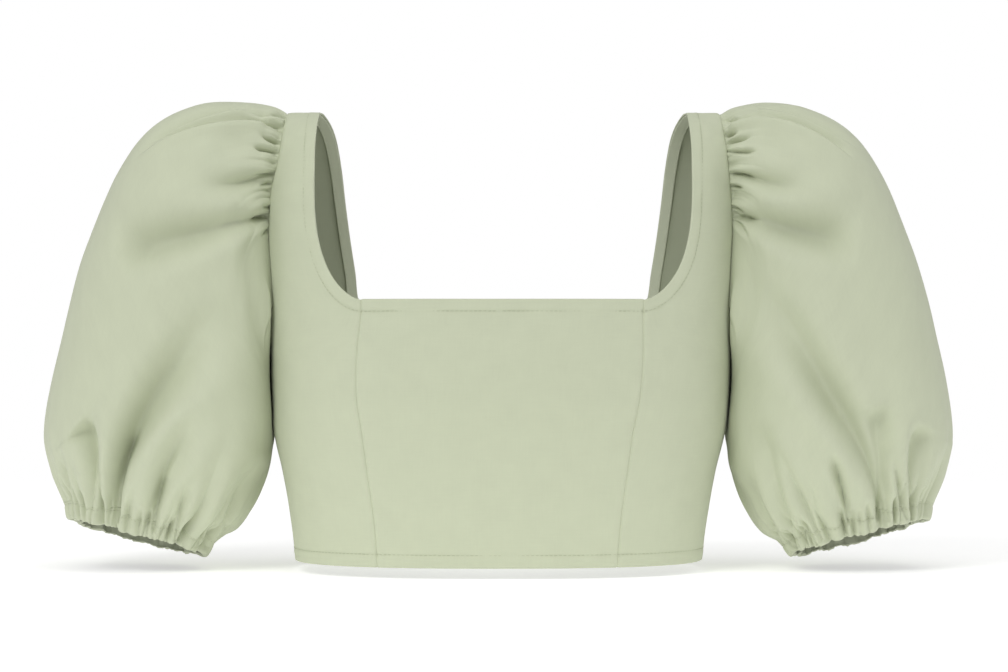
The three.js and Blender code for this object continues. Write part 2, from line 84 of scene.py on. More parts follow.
def sleeve_tables(names, text):
    """A table for each side and face of the sleeves, from rows of numbers under headings."""
    texts = {}
    for line in text.strip().splitlines():
        if line[0].isalpha():
            heading = tuple(line.split())
            texts[heading] = ""
        else:
            texts[heading] += line + "\n"
    return {heading: table(names, rows) for heading, rows in texts.items()}


def rows_of(columns):
    """The rows of a table, each by its columns' names."""
    return [dict(zip(columns, row)) for row in zip(*columns.values())]


# Level sections of the bodice from the shoulder down: half width, depth at the middle, and how
# far out the armhole and the neck or princess line lie.
FRONT = table("z half depth arm line", """
    0 172 0 155 131.2
    -8 172 36 156.2 132.2
    -24 172 62 158.3 132.9
    -41 172 78 160.5 132.7
    -60 171.5 90 163.2 132.3
    -88 170.7 102.5 164 105
    -112 169.3 109.5 162.5 98
    -140 167.5 115.5 161 97
    -176 165.2 119 161 98.4
    -203 164 116.5 161 97.4
    -228 161.8 111 161 93.4
    -258 155 106 161 89.4
    -290 149.3 103 161 85.2
    -320 145.7 101.5 161 82.8
""")
BACK = table("z half depth arm line", """
    0 172 0 155 131.2
    -6 172 33 156 126.4
    -17 172 56 157.6 123
    -38 172 79 160.2 120.2
    -62 171.5 94 162.7 118.1
    -88 170.7 103 163 115.1
    -112 169.3 107.5 162 111.6
    -140 167.5 110 161 107
    -176 165.2 109.5 161 86
    -203 164 106.5 161 84
    -228 161.8 103 161 82
    -258 155 99 161 80
    -290 149.3 96.5 161 78
    -320 145.7 95.5 161 77
""")

HEM_Z = float(FRONT["z"][-1])

# Sections of a sleeve, from its inner point to its outer one as seen from the front, with the
# bulge to the front and back across that and the lean that raises the front side.
SLEEVE = table("v inner_x inner_z outer_x outer_z front back lean", """
    0 165.6 -168 155 0 44 44 0
    0.06 167 -174 166 5.5 55 54 0
    0.14 167 -182 189 8.6 66 64 0
    0.24 166 -190 218 5.6 74 71 0
    0.36 165.5 -199 250.5 -11.5 79 76 0.01
    0.48 164.5 -209 275 -46 82 79 0.02
    0.6 164 -221 295 -96 84 82 0.04
    0.71 163.8 -237 310.4 -147 83 82 0.06
    0.81 167 -259 321.4 -193 80 79 0.09
    0.89 175.5 -281.5 326 -232 73 73 0.11
    0.95 188 -299.5 320 -259 62 63 0.13
    1 203 -310.5 310.5 -281 49 50 0.135
    1.04 210 -319 308 -293.5 47 48 0.145
""")
SLEEVE_POWER = 2.4
CUFF_END = SLEEVE["v"][-1]
CAP_COLUMNS = 0.4  # share of half a sleeve's columns that is gathered into the cap
CAP_EDGE = 0.26  # share of half the armhole that takes them
TUCKED_UNDER = {"in": 1.8, "down": 2.4}  # the sleeve's edge under the bodice's edge
COLUMNS = 512
# Shares of the sleeve by the cap and the cuff whose gathers need finer rings, how many rings
# there are, and the share between the sleeve and its cuff at their seam.
FINE_RINGS = {"cap": 0.12, "cuff": 0.16}
RINGS = {"cap": 36, "middle": 66, "cuff": 47}
CUFF_SEAM_GAP = 0.0006
# Girths of a sleeve: its cloth laid flat, its relief, its pleats at the cap and at the cuff, and
# the cuff's lower edge. Last, the length of the casing's cloth to a whole sleeve.
GIRTH = {"cut": 520, "relief": 500, "cap": 300, "cuff": 330, "edge": 300}
CASING_LENGTH = 330
# Shifts of the hanging garment towards the wearer's left: the middle's low down and high up, the
# sides' at the hem and at the straps, the sleeves', and the cuffs' further one. The last one is
# how far the right sleeve is raised and the left one lowered beside the bodice.
SHIFTS = {"low": -2, "high": 2, "hem": -0.9, "strap": 2, "sleeve": -1, "cuff": -1.2, "up": 2.2}
# Where a sleeve hangs beside the bodice: from these heights down, from these up, and not behind
# or in front of these depths.
HANGS_BESIDE = {"top": (-135, -105), "foot": (-244, -214), "depth": (50, 110)}
# Seeds of the random relief, and how far round each sleeve's pleats are turned.
SEEDS = {"pucker": 5, "drape": 6, "ripple": 7, "facing": 8}
SLEEVE_SEEDS, CUFF_SEEDS = {"left": 5, "right": 15}, {"left": 41, "right": 43}
PLEATS_TURNED = {"left": 0.13, "right": 0}

# Folds of each sleeve, as troughs along a curve through three points that is seen from one face:
# half width where the fold starts and where it ends, depth, and where along it that depth is.
FOLDS = sleeve_tables("x0 z0 x1 z1 x2 z2 start end depth peak", """
right front
    154 -5.5 164 -3 186 0 0.8 1.6 4 0.45
    154.6 -12.5 168 -8.5 184 -3.5 0.8 1.8 5 0.45
    155.5 -16 159 -14 166 -11 0.7 1.2 3.4 0.3
    156.3 -24.5 162 -22 173 -16 0.8 1.5 6.5 0.45
    157 -32 166 -28.5 176 -26 0.8 1.6 6 0.4
    170 -28 186 -24 206 -30 5 9 3.4 0.5
    158.2 -45.5 166 -46.5 174 -48 0.8 1.6 5.5 0.4
    160 -46 182 -52 214 -57 1.6 9 8 0.4
    159.2 -52.5 164 -53.5 170 -56 0.7 1.3 4.5 0.35
    160.8 -69 165 -69.3 170 -69.5 0.7 1.2 3 0.3
    162.2 -75.5 206 -86.5 272 -100 2 16 18 0.75
    161.4 -75 166 -76.5 174 -78.5 0.8 1.8 6 0.35
    162 -84 164 -86 169 -92 0.7 1.3 4 0.3
    270 -298 251 -222 178 -128 1.2 17 20 0.45
    268.5 -292 264 -257 252 -228 1.3 5 8 0.55
    262 -262 244 -236 206 -196 1.4 6 -3 0.3
    302 -290 307 -268 310 -248 1 3.4 4.5 0.5
    287 -292 284.5 -246 294 -222 1.1 9.5 13 0.75
    243 -303 234 -262 202 -205 1.2 10 11 0.42
    242 -298 237 -276 230 -258 1.2 3 7 0.5
    237 -286 229 -258 206 -222 1.2 4 -2 0.4
    228 -305 222 -280 214 -256 1 5 5 0.4
    216 -317 190 -285 168 -246 1.2 8 8 0.45
    206 -317 184 -286 165 -246 1.2 7 6 0.4
left front
    155.6 -5.5 160 -4 168 -2 1 1.6 4 0.3
    157.6 -18.5 160 -17.5 167 -15 0.7 1.3 4.5 0.35
    158.4 -24.5 165 -22 176 -19 0.8 1.6 6.5 0.4
    159.4 -30 168 -30.5 180 -29.5 0.8 1.6 6 0.4
    172 -30 188 -27 208 -34 5 9 3.2 0.5
    161.5 -45.5 168 -46.5 177 -49 0.8 1.6 5.5 0.4
    163 -46 186 -52 220 -61 1.6 9 8 0.4
    162 -54 165 -55 171 -57 0.7 1.3 4.5 0.35
    163 -69.5 166 -71 170 -77 0.7 1.3 5 0.45
    163.6 -76 168 -77 177 -79 0.8 1.8 6 0.35
    163.6 -74 196 -83 254 -93 2 15 18 0.68
    164 -79 168 -84 176 -94 0.9 1.6 3.6 0.3
    268 -290 246 -224 163 -108 1.2 15 19 0.5
    247.5 -292 240 -264 230.5 -238 1.1 3.8 9.5 0.4
    275.5 -290 270 -246 263 -208 1.1 11 13 0.75
    293.5 -290 292.7 -250 300 -222 1.1 9 11 0.7
    288 -289 282 -263 275 -240 1 4.5 6 0.4
    214 -309 193 -263 177 -212 1.2 10 8 0.5
    229 -304 209 -268 188 -228 1.2 7 7 0.4
    206.7 -315 184 -284 166 -250 1.2 8 7 0.4
right back
    155 -10 164 -8 178 -5 0.8 1.8 5 0.4
    155.8 -18 160 -17 167 -15 0.9 1.5 4.5 0.25
    156.8 -30 163 -29 176 -27 0.9 2 6 0.4
    158.6 -46 182 -52 214 -60 1.3 8 9.5 0.35
    160.6 -60 165 -61 171 -63 1 1.6 4.5 0.25
    162.4 -77 204 -88 258 -99 1.6 15 16 0.55
    162.8 -86 166 -89 173 -95 0.9 1.6 4 0.25
    268 -302 246 -222 182 -140 1.2 16 17 0.42
    286 -298 283 -246 292 -220 1.1 10 9 0.65
    245 -310 234 -262 206 -210 1.2 9 10 0.4
    230 -314 212 -270 190 -228 1.1 7 7 0.4
    301 -294 302 -266 308 -242 1 4 5 0.4
    210 -322 188 -287 168 -248 1.2 8 7 0.4
left back
    155 -11 165 -9 180 -6 0.8 1.8 5 0.4
    156.4 -22 161 -20.5 168 -18 1 1.8 5.5 0.25
    157.8 -36 165 -35.5 179 -35 0.9 2 6 0.4
    159.4 -51 184 -57 216 -66 1.3 8 9.5 0.35
    162 -72 165 -73 170 -75 1 1.6 4 0.25
    162.8 -80 202 -89 252 -100 1.6 14 16 0.55
    266 -302 248 -224 186 -146 1.2 15 16 0.42
    293 -296 290 -250 298 -226 1.1 9 8 0.65
    248 -310 238 -262 220 -222 1.2 9 10 0.4
    226 -314 208 -270 186 -228 1.1 8 7 0.4
    277 -300 272 -262 268 -236 1 6 6 0.5
    210 -322 186 -287 168 -248 1.2 8 7 0.4
""")
RIDGE = 0.16  # of a fold's depth, the rise of the cloth beside it
LONG_FOLD = 9  # half width at the end beyond which a fold is long and soft
# Folds whose upper side sinks behind the cloth below: how deep it sinks and over what width, how
# far the cloth below rises and over what width.
LAPS = sleeve_tables("x0 z0 x1 z1 x2 z2 sink above rise below", """
right front
    166 -9.5 206 -13 258 -34 6.5 8 2.6 5
    182 2 214 -7 250 -25 3.6 5 1.8 4
left front
    158 -12.5 198 -9.5 252 -38 6.5 8 2.6 5
    180 3.5 212 -5.5 256 -29 3.6 5 1.8 4
right back
    164 -20 202 -17 248 -40 5.5 8 2.4 5
    184 -6 214 -12 240 -28 2 5 1.2 4
left back
    164 -18 200 -15 250 -40 5.5 8 2.4 5
    178 -2 206 -8 236 -25 2 5 1.2 4
""")
# Narrow slots between the pleats of a cuff, which run on a little way into the sleeve: how far out
# the slot is, its depth, how wide it ends and how far above the cuff.
SLOTS = sleeve_tables("x depth width length", """
right front
    292.5 4.4 2 12, 281 3.8 2 9, 275 4.8 2.4 16, 261.8 4.8 3 20, 253 4.2 2.4 14,
    247 4.8 2 10, 233 4.8 2.6 16, 223 3.8 2 10, 212.4 4.8 2.4 12, 208 4.2 2 8
left front
    299 4.2 2 12, 281 4.8 2.2 12, 273 3.8 2 9, 262 4.8 2.6 18, 256 4.2 2 12,
    252 4.8 2.4 12, 245 4.8 2.6 16, 222 4.8 2.2 14, 218 4.2 2 8, 211 4.8 2.2 12
right back
    294 4.4 2 12, 279 4.2 2 10, 273 4.8 2.4 18, 259 4.8 2.6 14, 251 4 2 10,
    239 4.8 2.4 16, 222 4.8 2.4 14, 216 4.2 2 8
left back
    300 4.4 2 12, 285 4.8 2.2 14, 269 4.2 2 9, 260 4.8 2.6 18, 255 4 2 10,
    241 4.8 2.4 14, 233 4.2 2 10, 217 4.8 2.4 14
""")
# How the slots lean as they rise, by how far out they are.
SLOT_LEAN = table("x lean", """
    204 -1.2, 212 -1.05, 226 -0.6, 241 -0.3, 268 -0.25, 286 -0.1, 304 0.35
""")
# The cuff's seam as seen from the front: its height at a place, its slope, and how much lower it
# is at the back.
CUFF_SEAM = {"x": 303, "z": -276, "slope": 0.32, "lower": 10}
# Uneven pleats at each gathered end: how many round the sleeve, how high a pleat rises for its
# width, how far it reaches from the seam for its width, and a seed.
CAP_PLEATS = table("count rise reach seed", "62 0.24 1.9 11, 24 0.16 1.7 12")
CUFF_PLEATS = table("count rise reach seed", "38 0.46 1.7 21, 17 0.14 1.6 22")


# ---- Helpers ----
def smooth(value, low, high):
    s = np.clip((np.asarray(value, float) - low) / (high - low), 0, 1)
    return s * s * (3 - 2 * s)


def mix(a, b, share):
    return a + (b - a) * share


def bell(distance, width):
    """1 at no distance, and almost 0 from two widths away."""
    return np.exp(-((distance / width) ** 2))


def power(value, exponent):
    return np.sign(value) * np.abs(value) ** exponent


def unit(vectors):
    return vectors / np.maximum(np.linalg.norm(vectors, axis=-1, keepdims=True), 1e-9)


def lengths_along(points):
    """How far along a line of points each of them is."""
    return np.concatenate([[0], np.cumsum(np.linalg.norm(np.diff(points, axis=0), axis=1))])


def on_line(places, lengths, values):
    """Vectors given at lengths along a line, read at other places along it."""
    return np.stack([np.interp(places, lengths, values[:, k]) for k in range(3)], -1)


def read(columns, key, at):
    """Every column at some places along the key column, smooth through the rows."""
    keys, at = columns[key], np.asarray(at, float)
    i = np.clip(np.searchsorted(keys, at) - 1, 0, len(keys) - 2)
    low, high = np.maximum(i - 1, 0), np.minimum(i + 2, len(keys) - 1)
    span = keys[i + 1] - keys[i]
    s = (at - keys[i]) / span
    result = {}
    for name, column in columns.items():
        slope_a = (column[i + 1] - column[low]) / (keys[i + 1] - keys[low])
        slope_b = (column[high] - column[i]) / (keys[high] - keys[i])
        ends = column[i] * (1 + 2 * s) * (1 - s) ** 2 + column[i + 1] * (3 - 2 * s) * s**2
        result[name] = ends + span * (slope_a * s * (1 - s) ** 2 - slope_b * (1 - s) * s**2)
    return result


def noise(seed, u, v, size_u, size_v, around=None, lattice=64):
    """Smooth random heights from -1 to 1 over lumps of a size; around closes it in u."""
    count = round(around / size_u) if around else lattice
    u = np.asarray(u, float) / (around / count if around else size_u)
    v = np.asarray(v, float) / size_v
    values = np.random.default_rng(seed).uniform(-1, 1, (lattice, count))
    i, j = np.floor(u).astype(int), np.floor(v).astype(int)
    s, t = smooth(u - i, 0, 1), smooth(v - j, 0, 1)

    def at(a, b):
        return values[b % lattice, a % count]

    return mix(mix(at(i, j), at(i + 1, j), s), mix(at(i, j + 1), at(i + 1, j + 1), s), t)


# ---- The bodice's surface ----
def make_spine():
    spine = {name: np.concatenate([FRONT[name][::-1], BACK[name][1:]]) for name in FRONT}
    spine["depth"][: len(FRONT["z"])] *= -1
    run = np.concatenate([[0], np.cumsum(np.hypot(np.diff(spine["depth"]), np.diff(spine["z"])))])
    spine["run"] = run - run[len(FRONT["z"]) - 1]
    return spine


SPINE = make_spine()
RUN_HEM = (SPINE["run"][0], SPINE["run"][-1])
DENSE = np.linspace(0, 1, 3000)


def run_at_height(z, back):
    runs = DENSE * RUN_HEM[1 if back else 0]
    return np.interp(-np.asarray(z, float), -read(SPINE, "run", runs)["z"], runs)


def bodice_point(run, angle):
    """The place on the bodice at a run from the shoulder, below 0 in front, and an angle from
    the middle."""
    at = read(SPINE, "run", run)
    x = at["half"] * power(np.sin(angle), 2 / POWER)
    y = at["depth"] * power(np.cos(angle), 2 / POWER)
    return np.stack(np.broadcast_arrays(x, y, at["z"]), -1)


def bodice_slopes(run, angle):
    far = np.where(angle < 0, -1, 1) * np.minimum(np.abs(angle), np.pi / 2 - 0.02)
    along_run = bodice_point(run + 0.5, far) - bodice_point(run - 0.5, far)
    along_angle = (bodice_point(run, far + 0.01) - bodice_point(run, far - 0.01)) / 0.02
    return along_run, along_angle


def bodice_normal(run, angle):
    along_run, along_angle = bodice_slopes(run, angle)
    return unit(np.cross(along_angle, along_run))


def on_bodice(run, angle):
    """Places on the bodice and the ways straight out of it there."""
    return bodice_point(run, angle), bodice_normal(run, angle)


def angle_at_x(run, x):
    return np.arcsin(np.minimum(x / read(SPINE, "run", run)["half"], 1) ** (POWER / 2))


def line_angle(run):
    """The neck edge, and below the neckline the princess line or its place on the back."""
    run = np.asarray(run, float)
    at = read(SPINE, "run", run)
    result = np.zeros_like(run)
    for neck, side in ((FRONT_NECK, run < 0), (BACK_NECK, run >= 0)):
        top = neck["z"] + neck["height"]
        rise = np.clip((top - at["z"]) / neck["height"], 0, 1)
        corner = neck["flat"] + neck["width"] * (1 - rise ** neck["bend"]) ** neck["square"]
        below = at["line"] if neck is FRONT_NECK else np.minimum(at["line"], neck["flat"])
        x = np.where(at["z"] > top, at["line"], np.where(at["z"] > neck["z"] + 1e-6, corner, below))
        result = np.where(side, angle_at_x(run, x), result)
    return result


def outer_angle(run):
    """The armhole's edge, and the side seam below it."""
    at = read(SPINE, "run", run)
    lowered = (ARMHOLE["z"] + ARMHOLE["height"] - at["z"]) / ARMHOLE["height"]
    reach = np.maximum(ARMHOLE["reach"] * np.sqrt(np.maximum(1 - lowered**2, 0)), SEAM_GAP / 2)
    low = np.arccos(np.minimum(reach / np.maximum(np.abs(at["depth"]), reach), 1) ** (POWER / 2))
    return np.where(lowered <= 0, angle_at_x(run, at["arm"]), low)


def moved(run, angle, step):
    """The place on the bodice that a short step leads to."""
    along_run, along_angle = bodice_slopes(run, angle)
    rr, ra, aa = (np.sum(p * q, -1) for p, q in
                  ((along_run, along_run), (along_run, along_angle), (along_angle, along_angle)))
    r, a = np.sum(along_run * step, -1), np.sum(along_angle * step, -1)
    determinant = rr * aa - ra * ra
    return run + (r * aa - a * ra) / determinant, angle + (a * rr - r * ra) / determinant


def settle(points):
    """Points of the garment, moved as it hangs a little to one side."""
    x, z = np.abs(points[..., 0]), points[..., 2]
    middle = mix(SHIFTS["low"], SHIFTS["high"], smooth(z, -235, -105))
    side = SHIFTS["hem"] * (1 - smooth(z, -260, -200)) + SHIFTS["strap"] * smooth(z, -64, -28)
    far = SHIFTS["sleeve"] + SHIFTS["cuff"] * (1 - smooth(z, -240, -120))
    aside = mix(mix(middle, side, smooth(x, 132, 156)), far, smooth(x, 170, 235))
    under_arm = smooth(x, 160, 172) * (1 - smooth(x, 190, 220)) * (1 - smooth(z, -240, -200))
    up = -SHIFTS["up"] * np.sign(points[..., 0]) * under_arm
    return points + np.stack([aside, np.zeros_like(x), up], -1)


# ---- Meshes ----
def new_object(name, data):
    item = bpy.data.objects.new(name, data)
    bpy.context.scene.collection.objects.link(item)
    return item


def mesh_object(name, points, faces, material, uv=None, painted_shade_faces=None):
    """A piece of the garment from its points in millimetres and its faces, of which those from
    one number up to another get a darker copy of the cloth: painted shade inside the garment."""
    mesh = bpy.data.meshes.new(name)
    mesh.from_pydata((np.asarray(points) * MM).tolist(), [], [list(face) for face in faces])
    mesh.polygons.foreach_set("use_smooth", np.ones(len(mesh.polygons), bool))
    if uv is not None:
        corners = np.empty(len(mesh.loops), np.int32)
        mesh.loops.foreach_get("vertex_index", corners)
        mesh.uv_layers.new(name="cloth").data.foreach_set("uv", (uv * MM)[corners].ravel())
    mesh.materials.append(material)
    # Painted shade: the inner faces get the darker copy of the cloth.
    if painted_shade_faces is not None:
        mesh.materials.append(PAINTED_SHADE_INSIDE_LOOK)
        slots = np.zeros(len(faces), np.int32)
        slots[slice(*painted_shade_faces)] = 1
        mesh.polygons.foreach_set("material_index", slots)
    mesh.validate()
    piece = new_object(name, mesh)
    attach(piece, "root")
    return piece


def quads(rows, columns, closed=False):
    """The corners of each cell of a grid of points, row by row; closed joins up its columns."""
    cells = columns if closed else columns - 1
    j, i = np.divmod(np.arange((rows - 1) * cells), cells)
    near, far = j * columns + i, j * columns + (i + 1) % columns
    return np.stack([near, far, far + columns, near + columns], 1)


def inside_out(points, faces):
    a, b, c = (points[faces[:, k]] for k in (0, 1, 2))
    return np.sum(a * np.cross(b, c)) < 0


def shell(name, outer, inner, uv, material, closed=False, cloth=None, with_painted_shade=False):
    """A sheet of cloth with a rounded rim, from the grids of its two faces."""
    rows, columns = outer.shape[:2]
    cells = columns if closed else columns - 1
    if cloth is None:
        cloth = np.ones((rows - 1, cells), bool)
    j, i = np.nonzero(cloth)
    corners = quads(rows, columns, closed)[cloth.ravel()]
    total = rows * columns
    padded = np.zeros((rows + 1, cells + 2), bool)
    padded[1:-1, 1:-1] = cloth
    if closed:
        padded[1:-1, 0], padded[1:-1, -1] = cloth[:, -1], cloth[:, 0]
    flat, flat_inner, flat_uv = outer.reshape(-1, 3), inner.reshape(-1, 3), uv.reshape(-1, 2)
    edges, outwards = [], []
    for side, (dj, di) in enumerate(((-1, 0), (0, 1), (1, 0), (0, -1))):
        bare = ~padded[j + 1 + dj, i + 1 + di]
        a, b, c, d = (corners[bare, (side + k) % 4] for k in range(4))
        edges.append(np.stack([a, b], 1))
        outwards.append(unit(flat[a] + flat[b] - flat[c] - flat[d]))
    edges, outwards = np.concatenate(edges), np.concatenate(outwards)
    on_rim, place = np.unique(edges, return_inverse=True)
    place = place.reshape(edges.shape)
    away = np.zeros((len(on_rim), 3))
    np.add.at(away, place[:, 0], outwards)
    np.add.at(away, place[:, 1], outwards)
    rim, rim_inner = flat[on_rim], flat_inner[on_rim]
    thickness = np.linalg.norm(rim - rim_inner, axis=1, keepdims=True)
    rim = (rim + rim_inner) / 2 + unit(away) * thickness * ROUNDED_RIM
    r = 2 * total + place
    faces = np.concatenate([
        corners, corners[:, ::-1] + total,
        np.stack([edges[:, 1], edges[:, 0], r[:, 0], r[:, 1]], 1),
        np.stack([r[:, 1], r[:, 0], edges[:, 0] + total, edges[:, 1] + total], 1),
    ])
    points = np.concatenate([flat, flat_inner, rim])
    uvs = np.concatenate([flat_uv, flat_uv, flat_uv[on_rim]])
    used, faces = np.unique(faces, return_inverse=True)
    faces = faces.reshape(-1, 4)
    if inside_out(points[used], faces):
        faces = faces[:, ::-1]
    # Painted shade on the panel's inner faces.
    painted_shade_faces = (len(corners), 2 * len(corners)) if with_painted_shade else None
    return mesh_object(name, settle(points[used]), faces, material, uvs[used], painted_shade_faces)


def lowest_near(height, reach):
    """The lowest height within a number of cells of each, round the tube and along it."""
    result = height
    for step in range(1, reach + 1):
        result = np.minimum(result, np.minimum(np.roll(height, step, 1), np.roll(height, -step, 1)))
    across = result
    for step in range(1, reach + 1):
        padded = np.pad(across, ((step, step), (0, 0)), mode="edge")
        result = np.minimum(result, np.minimum(padded[: -2 * step], padded[2 * step :]))
    return result


def tube(name, outer, inner, uv, material):
    """A tube of cloth: a fine outer face, an inner face of half as many rows and columns, and
    rounded ends."""
    rows, columns = outer.shape[:2]
    inner, inner_uv = inner[::2, ::2], uv[::2, ::2]
    few_rows, few = inner.shape[:2]
    first_inner = rows * columns
    fine = quads(rows, columns, True)
    coarse = first_inner + quads(few_rows, few, True)[:, [0, 3, 2, 1]]
    faces = [*fine.tolist(), *coarse.tolist()]
    points, uvs = [outer.reshape(-1, 3), inner.reshape(-1, 3)], [uv.reshape(-1, 2)]
    uvs.append(inner_uv.reshape(-1, 2))
    first_rim = first_inner + few_rows * few
    k, pair = np.arange(columns), 2 * np.arange(few)
    after = (k + 1) % columns
    for end, few_end, inwards in ((0, 0, 1), (rows - 1, few_rows - 1, -1)):
        ring, within = outer[end], inner[few_end]
        away = unit(ring - outer[end + inwards])
        between = np.repeat(within, 2, axis=0)
        between[1::2] = (within + np.roll(within, -1, 0)) / 2
        thickness = np.linalg.norm(ring - between, axis=1, keepdims=True)
        points.append((ring + between) / 2 + away * thickness * ROUNDED_END)
        uvs.append(uv[end])
        outer_edge, inner_edge = end * columns, first_inner + few_end * few
        to_rim = np.stack([outer_edge + after, outer_edge + k, first_rim + k, first_rim + after], 1)
        to_inner = np.stack([
            first_rim + (pair + 2) % columns, first_rim + pair + 1, first_rim + pair,
            inner_edge + pair // 2, inner_edge + (pair // 2 + 1) % few,
        ], 1)
        faces += to_rim[:, ::inwards].tolist() + to_inner[:, ::inwards].tolist()
        first_rim += columns
    points = np.concatenate(points)
    if inside_out(points, fine):
        faces = [face[::-1] for face in faces]
    # Painted shade on the inner faces of the sleeves and cuffs.
    painted_shade_faces = (len(fine), len(fine) + len(coarse))
    return mesh_object(name, settle(points), faces, material, np.concatenate(uvs), painted_shade_faces)


def distance_to(points, line):
    """The distance of each point from a line of points."""
    flat = points.reshape(-1, 3)
    best = np.full(len(flat), 1e9)
    for a, b in zip(line[:-1], line[1:]):
        along = b - a
        s = np.clip(((flat - a) @ along) / max(along @ along, 1e-9), 0, 1)
        best = np.minimum(best, np.linalg.norm(flat - a - s[:, None] * along, axis=1))
    return best.reshape(points.shape[:-1])


def stitches(name, path, normals, material, closed=False):
    """A row of separate stitches along a path, each a short thread with its ends in the cloth."""
    path = settle(path)
    if closed:
        path, normals = np.concatenate([path, path[:1]]), np.concatenate([normals, normals[:1]])
    along = lengths_along(path)
    pitch = STITCH["length"] + STITCH["gap"]
    starts = np.arange(0.5 * pitch, along[-1] - pitch, pitch)
    profile = np.array([-0.5, -0.38, -0.15, 0.15, 0.38, 0.5]) * STITCH["length"]
    sunk = np.array([0.5, 0.12, 0, 0, 0.12, 0.5]) * STITCH["radius"] * 2
    thick = np.array([0.35, 0.85, 1, 1, 0.85, 0.35]) * STITCH["radius"]
    sides = 6
    turn = np.arange(sides) / sides * 2 * np.pi
    places = starts[:, None] + profile[None]
    centre, normal = on_line(places, along, path), unit(on_line(places, along, normals))
    behind, ahead = (on_line(places + step, along, path) for step in (-0.2, 0.2))
    side = unit(np.cross(unit(ahead - behind), normal))
    centre = centre - normal * sunk[None, :, None]
    ring = side[..., None, :] * np.cos(turn)[:, None] + normal[..., None, :] * np.sin(turn)[:, None]
    points = (centre[..., None, :] + ring * thick[None, :, None, None]).reshape(-1, 3)
    rings = len(profile)
    first = np.arange(len(starts))[:, None] * rings * sides
    faces = [(first[..., None] + quads(rings, sides, True)).reshape(-1, 4)]
    for end, order in ((0, -1), (rings - 1, 1)):
        for cap in ((0, 1, 2, 3), (0, 3, 4, 5)):
            faces.append(first + end * sides + np.array(cap)[::order])
    return mesh_object(name, points, np.concatenate(faces), material)


# ---- Materials ----
def linear(*screen):
    """A scene colour from 0 to 255 screen values."""
    shares = [value / 255 for value in screen]
    return tuple(c / 12.92 if c <= 0.04045 else ((c + 0.055) / 1.055) ** 2.4 for c in shares)


def set_inputs(tree, node, inputs):
    """Gives inputs of a node their links or plain values."""
    for key, value in inputs.items():
        if isinstance(value, bpy.types.NodeSocket):
            tree.links.new(value, node.inputs[key])
        else:
            node.inputs[key].default_value = value


def add_node(tree, kind, inputs, **settings):
    node = tree.nodes.new("ShaderNode" + kind)
    for name, value in settings.items():
        setattr(node, name, value)
    set_inputs(tree, node, inputs)
    return node


def new_material(name, inputs):
    material = bpy.data.materials.new(name)
    material.use_nodes = True
    shader = material.node_tree.nodes["Principled BSDF"]
    set_inputs(material.node_tree, shader, inputs)
    return material, material.node_tree, shader


def shades(tree, factor, colour, levels, positions):
    """A colour that runs between two levels of itself."""
    ramp = add_node(tree, "ValToRGB", {"Fac": factor})
    for element, level, position in zip(ramp.color_ramp.elements, levels, positions):
        element.position = position
        element.color = (*[min(c * level, 1) for c in colour], 1)
    return ramp.outputs["Color"]


def cloth_material(name, colour):
    """Plain-woven cloth: crossed threads that vary a little in thickness and shade, and slubs."""
    gloss = {"Roughness": 0.88, "Specular IOR Level": 0.22, "Sheen Weight": 0.12}
    material, tree, shader = new_material(name, {**gloss, "Sheen Roughness": 0.55})
    uv = add_node(tree, "UVMap", {}, uv_map="cloth").outputs["UV"]

    def stretched(scale_u, scale_v):
        inputs = {"Vector": uv, "Scale": (scale_u, scale_v, 1)}
        return add_node(tree, "Mapping", inputs).outputs["Vector"]

    def lumps(vector, scale, detail=2.0):
        inputs = {"Vector": vector, "Scale": scale, "Detail": detail}
        return add_node(tree, "TexNoise", inputs).outputs["Fac"]

    def threads(direction):
        inputs = {"Vector": plain, "Scale": 330, "Distortion": 1.2, "Detail": 1.5}
        wave = {"wave_type": "BANDS", "bands_direction": direction}
        return add_node(tree, "TexWave", {**inputs, "Detail Scale": 0.6}, **wave).outputs["Fac"]

    def maths(operation, a, b):
        return add_node(tree, "Math", {0: a, 1: b}, operation=operation).outputs[0]

    plain = stretched(1, 1)
    woven = maths("MAXIMUM", threads("X"), threads("Y"))
    slubs = maths("ADD", lumps(stretched(60, 900), 1.0), lumps(stretched(900, 60), 1.0))
    height = maths("ADD", maths("MULTIPLY", woven, 0.25), maths("MULTIPLY", slubs, 0.5))
    bump = add_node(tree, "Bump", {"Height": height, "Strength": 0.35, "Distance": 0.00012})
    broad = maths("MULTIPLY", lumps(plain, 60, 4), 0.5)
    mottle = maths("ADD", broad, maths("MULTIPLY", slubs, 0.25))
    base = shades(tree, mottle, colour, levels=(0.965, 1.03), positions=(0.3, 0.7))
    set_inputs(tree, shader, {"Normal": bump.outputs["Normal"], "Base Color": base})
    return material


def thread_material(name, colour):
    """Twisted sewing thread."""
    material, tree, shader = new_material(name, {"Roughness": 0.62})
    place = add_node(tree, "TexCoord", {}).outputs["Object"]
    twist = add_node(tree, "TexNoise", {"Vector": place, "Scale": 2600}).outputs["Fac"]
    base = shades(tree, twist, colour, levels=(0.85, 1.1), positions=(0, 1))
    set_inputs(tree, shader, {"Base Color": base})
    return material


CLOTH_LOOK = cloth_material("sage_cloth", linear(197, 203, 177))
# Painted light: a lighter copy of the same cloth for the neck facing, standing in for the light
# that falls on it.
FACING_PAINTED_LIGHT_LOOK = cloth_material("sage_facing_painted_light", linear(214, 219, 196))
# Painted shade: a darker copy of the same cloth for the faces inside the garment, standing in for
# the shade that falls there.
PAINTED_SHADE_INSIDE_LOOK = cloth_material("sage_cloth_painted_shade_inside", linear(174, 180, 156))
THREAD_LOOK = thread_material("sage_thread", linear(180, 186, 158))
PALE_THREAD_LOOK = thread_material("pale_sage_thread", linear(228, 232, 212))


